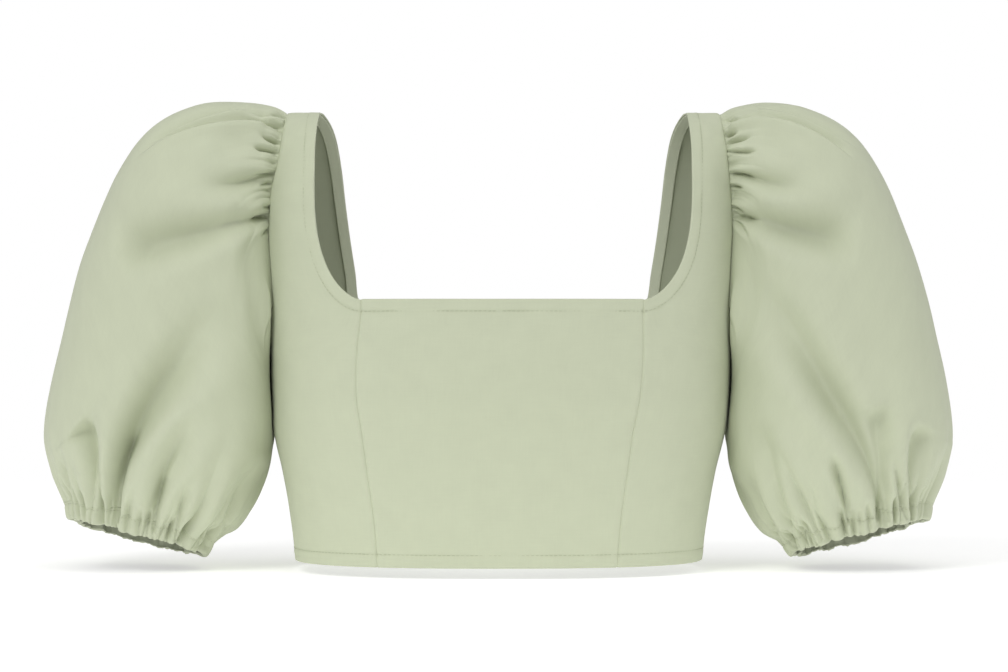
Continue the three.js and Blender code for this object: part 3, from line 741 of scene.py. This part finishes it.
# ---- Bodice panels ----
def panel_runs(back):
    """Runs from the hem to the shoulder, close together round the underarm, the neck's corner and
    the two rows of topstitching."""
    neck = BACK_NECK if back else FRONT_NECK
    turn = np.radians(np.arange(0, 90.1, 4.5))
    underarm = ARMHOLE["z"] + ARMHOLE["height"] * (1 - np.cos(turn))
    corner = neck["z"] + neck["height"] * (1 - np.cos(turn))
    plain = np.arange(HEM_Z + 3, -2, 3.2)
    near_neck = neck["z"] - np.array([0, 0.8, 2, 4, 6, 7.4, 8.6])
    near_hem = HEM_Z + np.array([0, 0.8, 2, 4, 6, 7.8, 9.4])
    special = np.unique(np.concatenate([underarm, corner, near_neck, near_hem]))
    plain = plain[np.min(np.abs(plain[:, None] - special[None]), axis=1) > 1.5]
    heights = np.unique(np.round(np.concatenate([plain, special, [-1.4, -0.5]]), 3))
    keep = np.concatenate([[True], np.diff(heights) > 0.25])
    keep |= np.abs(heights - neck["z"]) < 1e-6
    runs = run_at_height(heights[keep], back)
    return np.concatenate([runs, [(1 if back else -1) * SEAM_GAP * 0.9]])


def neck_loop():
    """Places (run, angle) all round the neck edge, and the steps of 1 mm into the cloth there."""
    front, rear = panel_runs(False), panel_runs(True)
    front = front[read(SPINE, "run", front)["z"] > FRONT_NECK["z"] - 0.01]
    rear = rear[read(SPINE, "run", rear)["z"] > BACK_NECK["z"] - 0.01]
    edge = np.concatenate([front[:-1], [0.0], rear[::-1][1:]])
    angle = line_angle(edge)
    share = np.arange(36) / 36
    run = np.concatenate([np.full(36, edge[0]), edge, np.full(36, edge[-1])])
    angle = np.concatenate([angle[0] * share, angle, (angle[-1] * share)[::-1]])
    run, angle = np.concatenate([run, run[1:-1][::-1]]), np.concatenate([angle, -angle[1:-1][::-1]])
    points = bodice_point(run, angle)
    ahead = np.roll(points, -1, 0) - np.roll(points, 1, 0)
    return run, angle, unit(np.cross(ahead, bodice_normal(run, angle)))


def hem_line(back, up=0.0):
    run = RUN_HEM[1] - up if back else RUN_HEM[0] + up
    angle = np.linspace(-np.pi / 2, np.pi / 2, 260)
    return np.full_like(angle, run), angle


NECK_RUN, NECK_ANGLE, INTO_CLOTH = neck_loop()


def edge_lines():
    """The bodice's seams and its finished edges, as lines of points."""
    front, rear = (np.linspace(0, hem, 240) for hem in RUN_HEM)
    lower = front[read(SPINE, "run", front)["z"] < FRONT_NECK["z"]]
    strap_top = (FRONT["line"][0], FRONT["arm"][0])
    seams = []
    for side in (1, -1):
        seams.append(bodice_point(lower, side * line_angle(lower)))
        seams.append(bodice_point(front, side * outer_angle(front)))
        seams.append(bodice_point(rear, side * outer_angle(rear)))
        seams.append(np.array([(side * x, 0, 0) for x in strap_top], float))
    neck = bodice_point(NECK_RUN, NECK_ANGLE)
    finished = [np.concatenate([neck, neck[:1]])]
    finished += [bodice_point(*hem_line(back)) for back in (False, True)]
    return seams, finished


SEAM_LINES, FINISHED_LINES = edge_lines()
# Broad soft creases of the bodice, as seen from the front: middle, direction, sizes and depth.
BODICE_CREASES = table("x z tilt length width depth", """
    0 -232 0 70 13 0.9
    -72 -292 -35 26 6 0.7
    70 -286 38 24 6 0.6
    -128 -196 62 30 7 0.8
    128 -200 -62 30 7 0.8
    -40 -166 8 44 9 0.5
    46 -168 -8 40 9 0.5
    -112 -150 70 22 6 0.6
    112 -150 -70 22 6 0.6
""")


def panel_height(base, seam, edge, turned):
    """Height of a panel's cloth, by how far it is from the seams and the finished edges. Cloth
    dips into its seams and its topstitching, and is thicker where it is turned."""
    x, y, z = (base[..., k] for k in range(3))
    from_stitch = edge - NECK_STITCH
    height = -0.5 * bell(seam, 0.8) + 0.25 * bell(seam - 3.4, 2.4)
    height += 0.32 * turned - 0.3 * bell(from_stitch, 0.8)
    pucker = noise(SEEDS["pucker"], x + y, z, 4.5, 4.5)
    height += pucker * (0.26 * bell(from_stitch, 3.5) + 0.14 * bell(seam, 4))
    height += 0.5 * noise(SEEDS["drape"], x, z + 3 * np.sign(y), 55, 48)
    height += 0.22 * noise(SEEDS["ripple"], x + 2 * y, z, 19, 24)
    shallower_behind = np.where(y < 0, 1.0, 0.6)
    for crease in rows_of(BODICE_CREASES):
        dx, dz, tilt = x - crease["x"], z - crease["z"], math.radians(crease["tilt"])
        along = dx * math.cos(tilt) + dz * math.sin(tilt)
        off = dz * math.cos(tilt) - dx * math.sin(tilt)
        away = (along / crease["length"]) ** 2 + (off / crease["width"]) ** 2
        height -= shallower_behind * crease["depth"] * np.exp(-away)
    near = np.minimum(seam, edge)
    calm = mix(np.clip(height, -0.8, 0.45), height, smooth(near, 0, 12))
    return np.where(near < 12, calm, height)


def panel(name, runs, angle, node, cloth=None):
    """One bodice panel from its rows' angles, with its seams rolled in and its edges turned."""
    run = np.broadcast_to(runs[:, None], angle.shape)
    base, normal = on_bodice(run, angle)
    seam = np.min([distance_to(base, line) for line in SEAM_LINES], axis=0)
    edge = np.min([distance_to(base, line) for line in FINISHED_LINES], axis=0)
    steps = np.linalg.norm(np.diff(base, axis=1, prepend=base[:, :1]), axis=-1)
    width = np.cumsum(steps, axis=1)
    uv = np.stack([width - width[:, -1:] / 2, run], -1)
    turned = 1 - smooth(edge, NECK_STITCH - 1, NECK_STITCH + 1.2)
    allowance = ALLOWANCE * (1 - smooth(seam, 8.5, 9.6)) * (edge > 1)
    wall = CLOTH + FOLDED_EDGE * turned + allowance
    outer = base + normal * panel_height(base, seam, edge, turned)[..., None]
    inner = outer - normal * wall[..., None]
    # The panel's inner faces get painted shade.
    piece = shell(name, outer, inner, uv, CLOTH_LOOK, cloth=cloth, with_painted_shade=True)
    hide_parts(node)
    return piece


def across(start, end, count, bunched=0.09):
    """Angles across each row from its start to its end, closer together by the two edges."""
    share = np.arange(count + 1) / count
    share = share - bunched * np.sin(2 * np.pi * share)
    return mix(start[:, None], end[:, None], share[None])


def shifted(run, angle, distance):
    return angle + distance / np.linalg.norm(bodice_slopes(run, angle)[1], axis=-1)


def front_panels():
    runs = panel_runs(False)
    line, outer = line_angle(runs), outer_angle(runs)
    start = shifted(runs, line, SEAM_GAP / 2)
    for side, name in SIDES:
        angle = across(side * start, side * outer, 30)
        panel(f"front_side_{name}_cloth", runs, angle, f"front_side_{name}")
    low = read(SPINE, "run", runs)["z"] <= FRONT_NECK["z"] + 0.01
    runs = runs[low]
    edge = shifted(runs, line[low], -SEAM_GAP / 2)
    angle = across(-edge, edge, 64)
    panel("front_centre_cloth", runs, angle, "front_centre")


def back_panel():
    runs = panel_runs(True)
    line, outer = line_angle(runs), outer_angle(runs)
    sides, middle = 30, 60
    angle = np.concatenate([
        across(-outer, -line, sides)[:, :-1],
        across(-line, line, middle, bunched=0),
        across(line, outer, sides)[:, 1:],
    ], axis=1)
    cloth = np.ones((len(runs) - 1, angle.shape[1] - 1), bool)
    above = read(SPINE, "run", runs)["z"][:-1] > BACK_NECK["z"] - 0.01
    cloth[above, sides : sides + middle] = False
    panel("back_cloth", runs, angle, "back", cloth)


def neck_facing():
    """The facing inside the neck edge, and the topstitching that holds it, on both faces."""
    widths = np.array([0.5, 1.2, 2.5, 4.5, 6.5, 7.6, 8.1, FACING_WIDTH])
    places = [moved(NECK_RUN, NECK_ANGLE, INTO_CLOTH * width) for width in widths]
    run, angle = (np.array([place[k] for place in places]) for k in (0, 1))
    base, normal = on_bodice(run, angle)
    along = lengths_along(base[0])
    uv = np.stack(np.broadcast_arrays(along, widths[:, None]), -1)
    sunk = CLOTH + FOLDED_EDGE + 0.05 - 0.2 * bell(widths - NECK_STITCH, 0.8)
    sunk = sunk[:, None] + 0.08 * noise(SEEDS["facing"], along, 0, 6, 6)[None]
    outer = base - normal * sunk[..., None]
    inner = outer - normal * 0.7
    # The facing wears the lighter copy of the cloth: painted light.
    piece = shell("neck_facing_cloth", outer, inner, uv, FACING_PAINTED_LIGHT_LOOK, closed=True)
    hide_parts("neck_facing")
    run, angle = moved(NECK_RUN, NECK_ANGLE, INTO_CLOTH * NECK_STITCH)
    points, normals = on_bodice(run, angle)
    outside = points + normals * ABOVE_CLOTH
    stitches("neck_topstitch", outside, normals, THREAD_LOOK, closed=True)
    inside = points - normals * (CLOTH + FOLDED_EDGE + 0.75)
    stitches("neck_topstitch_inside", inside, -normals, PALE_THREAD_LOOK, closed=True)


def hem_stitching():
    for back, name in ((False, "front"), (True, "back")):
        run, angle = hem_line(back, HEM_STITCH)
        points, normals = on_bodice(run, angle)
        stitches(f"hem_topstitch_{name}", points + normals * ABOVE_CLOTH, normals, THREAD_LOOK)


# ---- Sleeves ----
def make_armhole():
    """The armhole's edge from the shoulder down the front and up the back, by arc length."""
    z = ARMHOLE["z"] * np.sin(np.linspace(0, np.pi / 2, 400)) ** 2
    front, rear = run_at_height(z, False), run_at_height(z, True)[::-1][1:]
    run = np.concatenate([front, rear])
    angle = outer_angle(run)
    points, normals = on_bodice(run, angle)
    along = lengths_along(points)
    outwards = unit(np.cross(normals, np.gradient(points, axis=0)))
    return along / along[-1], points, normals, outwards


ARMHOLE_EDGE = make_armhole()


def section_point(v, angle):
    """The place on a plain section of a sleeve, at an angle from its outer point to the front."""
    at = read(SLEEVE, "v", v)
    across, up = at["outer_x"] - at["inner_x"], at["outer_z"] - at["inner_z"]
    size = np.hypot(across, up)
    along = power(np.cos(angle), 2 / SLEEVE_POWER) * size / 2
    bulge = power(np.sin(angle), 2 / SLEEVE_POWER)
    bulge = bulge * np.where(bulge > 0, at["front"], at["back"])
    x = (at["inner_x"] + at["outer_x"]) / 2 + across / size * along - up / size * bulge * at["lean"]
    z = (at["inner_z"] + at["outer_z"]) / 2 + up / size * along + across / size * bulge * at["lean"]
    return np.stack([x, -bulge * np.ones_like(x), z], -1)


def armhole_share(column):
    """How far from the shoulder, as a share of the armhole's edge, a column starts."""
    near = np.minimum(column, 1 - column)
    low = mix(CAP_EDGE, 0.5, (near - CAP_COLUMNS) / (0.5 - CAP_COLUMNS))
    return np.where(near < CAP_COLUMNS, near / CAP_COLUMNS * CAP_EDGE, low)


def on_armhole(column, *lines):
    """Lines of the armhole's edge, read where columns of the sleeve's cloth meet it."""
    share, along = armhole_share(column), ARMHOLE_EDGE[0]
    places = np.where(column < 0.5, share, 1 - share)
    return [on_line(places, along, line) for line in lines]


def column_start(column):
    """Where a column of the sleeve's cloth meets the armhole, and the section angle there."""
    point, normal, outwards = on_armhole(column, *ARMHOLE_EDGE[1:])
    turn = smooth(armhole_share(column), 0.3, 0.5)[..., None]
    plain = smooth(armhole_share(column), 0.2, 0.28)[..., None]
    lift = unit(outwards * (1 - turn) + normal * turn) * 0.3 - normal * mix(1.2, 0.55, plain)
    height = np.clip(1 - 2 * point[..., 2] / ARMHOLE["z"], -1, 1)
    angle = np.arccos(power(height, SLEEVE_POWER / 2))
    return point + lift, np.where(column < 0.5, angle, 2 * np.pi - angle)


def sleeve_point(column, v):
    """The place on a sleeve at a share round it and a share along it."""
    column = column % 1
    start, first_angle = column_start(column)
    angle = mix(first_angle, 2 * np.pi * column, smooth(v, 0, 0.45))
    misfit = start - section_point(np.zeros_like(v), first_angle)
    return section_point(v, angle) + misfit * (1 - smooth(v, 0, 0.25))[..., None]


def pleats(levels, column, distance, girth):
    """Height of uneven pleats at a gathered end, a distance from its seam. Each pleat is round
    between two sharp grooves, and the wider it is, the higher it stands and the further it runs."""
    height = np.zeros_like(distance)
    for count, rise, reach, seed in (level.values() for level in rows_of(levels)):
        rng = np.random.default_rng(int(seed))
        shares = rng.uniform(0.3, 1.7, int(count))
        shares /= shares.sum()
        edges = np.concatenate([[0], np.cumsum(shares)])
        edges[-1] = 1
        bent = 0.003 * np.sin(2 * np.pi * (3 * column + seed / 7)) * np.minimum(distance / 30, 1)
        place = (column + bent) % 1
        pleat = np.clip(np.searchsorted(edges, place, side="right") - 1, 0, int(count) - 1)
        u = (place - edges[pleat]) / shares[pleat]
        width = shares[pleat] * girth
        dome = np.maximum(4 * u * (1 - u), 0) ** 0.65
        swell = 0.5 - 0.5 * np.cos(2 * np.pi * u)
        length = reach * (width + 0.6 * girth / count)
        fade = np.exp(-((distance / length) ** 1.5))
        mean_fade = np.exp(-((distance / (1.6 * reach * girth / count)) ** 1.5))
        shape = mix(dome, swell, smooth(distance, 0.35 * length, 1.3 * length))
        height += rise * (width * shape * fade - 0.95 * girth / count * mean_fade)
    return height


def curve(row):
    """Points along a fold's curve, which passes through its three places."""
    ends = [np.array([row[f"x{n}"], row[f"z{n}"]]) for n in range(3)]
    control = 2 * ends[1] - (ends[0] + ends[2]) / 2
    s = np.linspace(0, 1, 48)[:, None]
    return (1 - s) ** 2 * ends[0] + 2 * s * (1 - s) * control + s**2 * ends[2]


def beside(line, points, reach):
    """The points near a line as seen from the front: which they are, and how far along it, above
    it and past its ends."""
    low, high = line.min(0) - reach, line.max(0) + reach
    x, z = points[..., 0], points[..., 2]
    near = (x > low[0]) & (x < high[0]) & (z > low[1]) & (z < high[1])
    seen = np.stack([x[near], z[near]], -1)
    steps = np.diff(line, axis=0)
    lengths = np.linalg.norm(steps, axis=1)
    best = np.full(len(seen), 1e9)
    along, off, past = np.zeros((3, len(seen)))
    for k, (step, length) in enumerate(zip(steps, lengths)):
        gap = seen - line[k]
        share = gap @ step / length**2
        held = np.clip(share, 0, 1)
        distance = np.linalg.norm(gap - held[:, None] * step, axis=1)
        closer = distance < best
        best[closer] = distance[closer]
        side = (step[0] * gap[:, 1] - step[1] * gap[:, 0]) / length * (-1 if step[0] < 0 else 1)
        beyond = np.abs(share - held) * length * ((k == 0) | (k == len(steps) - 1))
        for result, value in ((along, (k + held) / len(steps)), (off, side), (past, beyond)):
            result[closer] = value[closer]
    return near, along, off, past


def slot_rows(side_name, face):
    """The slots of a cuff as narrow folds, from the cuff's lower edge up into the sleeve."""
    rows = []
    for slot in rows_of(SLOTS[(side_name, face)]):
        x, high = slot["x"], slot["length"]
        lean = np.interp(x, SLOT_LEAN["x"], SLOT_LEAN["lean"])
        seam = CUFF_SEAM["z"] - CUFF_SEAM["slope"] * (CUFF_SEAM["x"] - x)
        seam -= 0 if face == "front" else CUFF_SEAM["lower"]
        rows.append({
            "x0": x, "z0": seam - 15, "x1": x + lean * high * 0.2, "z1": seam,
            "x2": x + lean * high, "z2": seam + high,
            "start": 1.1, "end": slot["width"], "depth": slot["depth"], "peak": 0.5,
        })
    return rows


def fold_height(side_name, face, points):
    """Height that the listed folds give points of a sleeve, from where they are seen from a
    face."""
    height = np.zeros(points.shape[:-1])
    for fold in rows_of(FOLDS[(side_name, face)]) + slot_rows(side_name, face):
        start, end, peak = fold["start"], fold["end"], fold["peak"]
        near, along, off, past = beside(curve(fold), points, 3.4 * max(start, end) + 3)
        width = mix(start, end, along)
        shallow, exponent = (0.25, 3) if end > LONG_FOLD else (0.5, 2)
        fade = mix(shallow, 1, smooth(along, 0, peak)) * (1 - smooth(along, peak, 1) ** exponent)
        fade = fade * bell(past, 0.8 * width)
        across_it = np.abs(off) / np.where(off > 0, width, width * 1.3)
        trough = np.exp(-(across_it ** mix(0.95, 2, smooth(width, 1.5, LONG_FOLD))))
        ridge = bell(np.abs(off) - 2.1 * width, 1.2 * width)
        height[near] += fade * fold["depth"] * (RIDGE * ridge - trough)
    for lap in rows_of(LAPS[(side_name, face)]):
        near, along, off, past = beside(curve(lap), points, 3 * max(lap["above"], lap["below"]))
        fade = smooth(along, 0, 0.1) * smooth(1 - along, 0, 0.22) * bell(past, 4)
        over = -lap["sink"] * np.exp(-((np.maximum(off, 0) / lap["above"]) ** 1.2))
        under = lap["rise"] * bell(np.maximum(-off - 1, 0), lap["below"])
        height[near] += fade * mix(under, over, smooth(off, -1, 0.3))
    return height


def clear_of_bodice(points, from_cap, soft=3.0):
    """Points of a sleeve moved in or out, to lie against the bodice's side and hang beside it."""
    x, y, z = (points[..., k] for k in range(3))
    level = np.maximum(z, HEM_Z)
    runs = np.where(y > 0, run_at_height(level, True), run_at_height(level, False))
    at = read(SPINE, "run", runs)
    share = np.minimum(np.abs(y) / np.maximum(np.abs(at["depth"]), 1), 1)
    surface = at["half"] * (1 - share**POWER) ** (1 / POWER)
    below_cap = 1 - smooth(z, *HANGS_BESIDE["top"])
    beside_body = smooth(z, *HANGS_BESIDE["foot"]) * below_cap
    beside_body = beside_body * (1 - smooth(np.abs(y), *HANGS_BESIDE["depth"]))
    gap = x - surface - CLEARANCE
    gap = gap - 5 * beside_body * np.exp(-np.maximum(gap, 0) / 24)
    kept = np.where(gap < soft, soft * np.exp(np.minimum(gap / soft - 1, 0)), gap)
    x = mix(x, surface + CLEARANCE + kept, smooth(from_cap, 0, 14) * below_cap)
    return np.stack([x, y, z], -1)


def sleeve_lengths(v):
    """How far the cloth of every column runs from the cap to a share along it, and on from there
    to the cuff."""
    fine = np.linspace(0, 1, 80)
    column_line, v_line = np.meshgrid(np.arange(COLUMNS) / COLUMNS, fine)
    steps = np.linalg.norm(np.diff(sleeve_point(column_line, v_line), axis=0), axis=-1)
    lengths = np.concatenate([np.zeros((1, COLUMNS)), np.cumsum(steps, axis=0)])
    place = np.clip(v, 0, 1) * (len(fine) - 1)
    low = np.minimum(place.astype(int), len(fine) - 2)
    index = np.broadcast_to(np.arange(COLUMNS), v.shape)
    from_cap = mix(lengths[low, index], lengths[low + 1, index], place - low)
    return from_cap, lengths[-1] - from_cap


def sleeve_height(side_name, column, base, from_cap, to_cuff):
    """Height of a sleeve's gathers, folds and uneven relief."""
    near = np.minimum(column, 1 - column)
    in_cap = 1 - smooth(near, CAP_COLUMNS - 0.1, CAP_COLUMNS - 0.02)
    turned = (column + PLEATS_TURNED[side_name]) % 1
    cap_pleats = pleats(CAP_PLEATS, turned, from_cap, GIRTH["cap"])
    height = in_cap * cap_pleats * smooth(from_cap, -0.5, 2.5)
    height += pleats(CUFF_PLEATS, turned, to_cuff, GIRTH["cuff"])
    for face, towards in (("front", -1), ("back", 1)):
        shown = smooth(towards * base[..., 1], 0, 10)
        height += fold_height(side_name, face, base) * shown * smooth(from_cap, -4, 3)
    seed, along = SLEEVE_SEEDS[side_name], column * GIRTH["relief"]
    broad = noise(seed, along, from_cap, 62, 70, GIRTH["relief"])
    small = noise(seed + 1, along, from_cap, 20, 30, GIRTH["relief"])
    height += broad * 1.5 * smooth(from_cap, 5, 60) * smooth(to_cuff, 5, 50)
    height += 0.35 * small * smooth(to_cuff, 0, 30)
    return height


def sleeve_surface(rings, side_name, wall, step=0.003):
    """A sleeve's or cuff's outer and inner points over its rings, the smooth normals and the UVs.
    Rings below 0 lead in under the edge of the armhole."""
    column, v = np.meshgrid(np.arange(COLUMNS) / COLUMNS, rings)
    under, v = np.maximum(-v, 0)[..., None], np.maximum(v, 0)
    base = sleeve_point(column, v)
    around = sleeve_point(column + step, v) - sleeve_point(column - step, v)
    along = sleeve_point(column, v + step) - sleeve_point(column, np.maximum(v - step, 0))
    normal = unit(np.cross(around, along))
    bodice, outwards = on_armhole(column, *ARMHOLE_EDGE[2:])
    base = base - under * (outwards * TUCKED_UNDER["in"] + bodice * TUCKED_UNDER["down"])
    from_cap, to_cuff = sleeve_lengths(v)
    height = sleeve_height(side_name, column, base, from_cap, to_cuff)
    height *= 1 - smooth(under[..., 0], 0, 0.4)
    outer = clear_of_bodice(base + normal * height[..., None], from_cap)
    inner = outer + normal * (lowest_near(height, 2) - height - wall)[..., None]
    past_seam = np.maximum(v - 1, 0) * CASING_LENGTH
    return outer, inner, normal, np.stack([column * GIRTH["cut"], from_cap + past_seam], -1)


def sleeve_rings():
    cap, cuff = FINE_RINGS["cap"], FINE_RINGS["cuff"]
    near_cap = np.linspace(0, 1, RINGS["cap"]) ** 1.2 * cap
    middle = np.linspace(cap, 1 - cuff, RINGS["middle"])[1:]
    near_cuff = 1 - (1 - np.linspace(0, 1, RINGS["cuff"])[1:]) * cuff
    near_cuff[-1] = 1 - CUFF_SEAM_GAP
    return np.concatenate([[-1, -0.4], near_cap, middle, near_cuff])


def sleeve(side, name):
    outer, inner, _, uv = sleeve_surface(sleeve_rings(), name, CLOTH)
    mirror = np.array([side, 1, 1])
    piece = tube(f"sleeve_{name}_cloth", outer * mirror, inner * mirror, uv, CLOTH_LOOK)
    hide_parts(f"sleeve_{name}")


def cuff(side, name):
    """A sleeve's end folded over its elastic, with a stitched groove under its seam and a
    scalloped lower edge."""
    share = np.array([
        0, 0.04, 0.09, 0.14, 0.2, 0.28, 0.36, 0.46, 0.56, 0.68, 0.8, 0.88, 0.95, 0.98, 1,
    ])
    rings, stitched = mix(1 + CUFF_SEAM_GAP, CUFF_END, share), 2
    outer, inner, normal, uv = sleeve_surface(rings, name, 1.6)
    share = share[:, None]
    bulge = 0.5 * np.sin(np.pi * share) - 0.55 * bell(share - 0.11, 0.05)
    bulge = (bulge - 0.5 * smooth(share, 0.85, 1))[..., None]
    outer, inner = outer + normal * bulge, inner + normal * np.minimum(bulge, 0)
    along = np.arange(COLUMNS) / COLUMNS * GIRTH["edge"]
    scallop = noise(CUFF_SEEDS[name], along, 0, 7, 7, GIRTH["edge"])
    droop = unit(outer[-1] - outer[0])[None] * (scallop[None] * share**3)[..., None] * 0.9
    outer, inner = outer + droop, inner + droop
    mirror = np.array([side, 1, 1])
    piece = tube(f"cuff_{name}_cloth", outer * mirror, inner * mirror, uv, CLOTH_LOOK)
    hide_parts(f"cuff_{name}")
    path = (outer[stitched] + normal[stitched] * 0.16) * mirror
    normals = normal[stitched] * mirror
    seam = stitches(f"cuff_stitching_{name}", path, normals, THREAD_LOOK, closed=True)


# ---- The garment ----
front_panels()
back_panel()
neck_facing()
hem_stitching()
for side, name in SIDES:
    sleeve(side, name)
    cuff(side, name)


# ---- Studio ----
LIT_POINT = (0, 0, -160)
LIGHTS = (  # name, place, size and watts
    ("key", (-1100, -1900, 1450), 1000, 22),
    ("top", (150, -650, 2000), 2200, 23),
    ("fill", (1500, -2200, 600), 1500, 4.5),
    ("front", (200, -3000, 250), 1200, 0.6),
    ("left", (-2400, -500, 500), 1600, 6.5),
    ("right", (2400, -500, 500), 1600, 8.5),
)


def floor(below=6, half=1600, front=-900, back=1300, middle=0.4, edge=0.8):
    """A pale floor a little under the hem, which brightens to white from a distance in metres to
    another."""
    z = CAD_BOX[0][2] / MM - below
    corners = [(-half, front, z), (half, front, z), (half, back, z), (-half, back, z)]
    mesh = bpy.data.meshes.new("floor")
    mesh.from_pydata([tuple(c * MM for c in corner) for corner in corners], [], [(0, 1, 2, 3)])
    dull = {"Roughness": 0.9, "Specular IOR Level": 0, "Emission Color": (1, 1, 1, 1)}
    material, tree, shader = new_material("white_floor", dull)
    place = add_node(tree, "TexCoord", {}).outputs["Object"]
    level = add_node(tree, "Mapping", {"Vector": place, "Scale": (1, 1, 0)}).outputs["Vector"]
    distance = add_node(tree, "VectorMath", {0: level}, operation="LENGTH").outputs["Value"]
    fade = {"Value": distance, "From Min": middle, "From Max": edge}
    for socket, start, end in (("Emission Strength", 0.5, 1.05), ("Base Color", 0.8, 0.0)):
        inputs = {**fade, "To Min": start, "To Max": end}
        change = add_node(tree, "MapRange", inputs, interpolation_type="SMOOTHSTEP")
        set_inputs(tree, shader, {socket: change.outputs["Result"]})
    mesh.materials.append(material)
    plane = new_object("floor", mesh)


def area_light(name, place, size, watts):
    light = bpy.data.lights.new(name, "AREA")
    light.shape = "SQUARE"
    light.size = size * MM
    light.energy = watts
    lamp = new_object(name, light)
    lamp.location = Vector(place) * MM
    towards = Vector(LIT_POINT) - Vector(place)
    lamp.rotation_euler = towards.to_track_quat("-Z", "Y").to_euler()


def studio():
    white = (1, 1, 1, 1)
    world = bpy.data.worlds.new("studio")
    world.use_nodes = True
    tree = world.node_tree
    seen = tree.nodes["Background"]
    seen.inputs["Color"].default_value = white
    cast = add_node(tree, "Background", {"Color": white, "Strength": 0.24})
    is_seen = add_node(tree, "LightPath", {}).outputs["Is Camera Ray"]
    skies = {1: cast.outputs["Background"], 2: seen.outputs["Background"]}
    choice = add_node(tree, "MixShader", {0: is_seen, **skies})
    tree.links.new(choice.outputs["Shader"], tree.nodes["World Output"].inputs["Surface"])
    bpy.context.scene.world = world
    for light in LIGHTS:
        area_light(*light)


def camera(distance=2200, width=725.76, x=2.5, z=-160.6):
    """Level with the middle of the garment, far off, with a long lens that takes in a width
    there."""
    view = bpy.data.cameras.new("camera")
    view.sensor_width = 36
    view.lens = view.sensor_width * distance / width
    view.clip_end = 100
    eye = new_object("camera", view)
    eye.location = (x * MM, -distance * MM, z * MM)
    eye.rotation_euler = (math.pi / 2, 0, 0)
    bpy.context.scene.camera = eye


floor()
studio()
camera()
bpy.context.scene.view_settings.view_transform = "Standard"
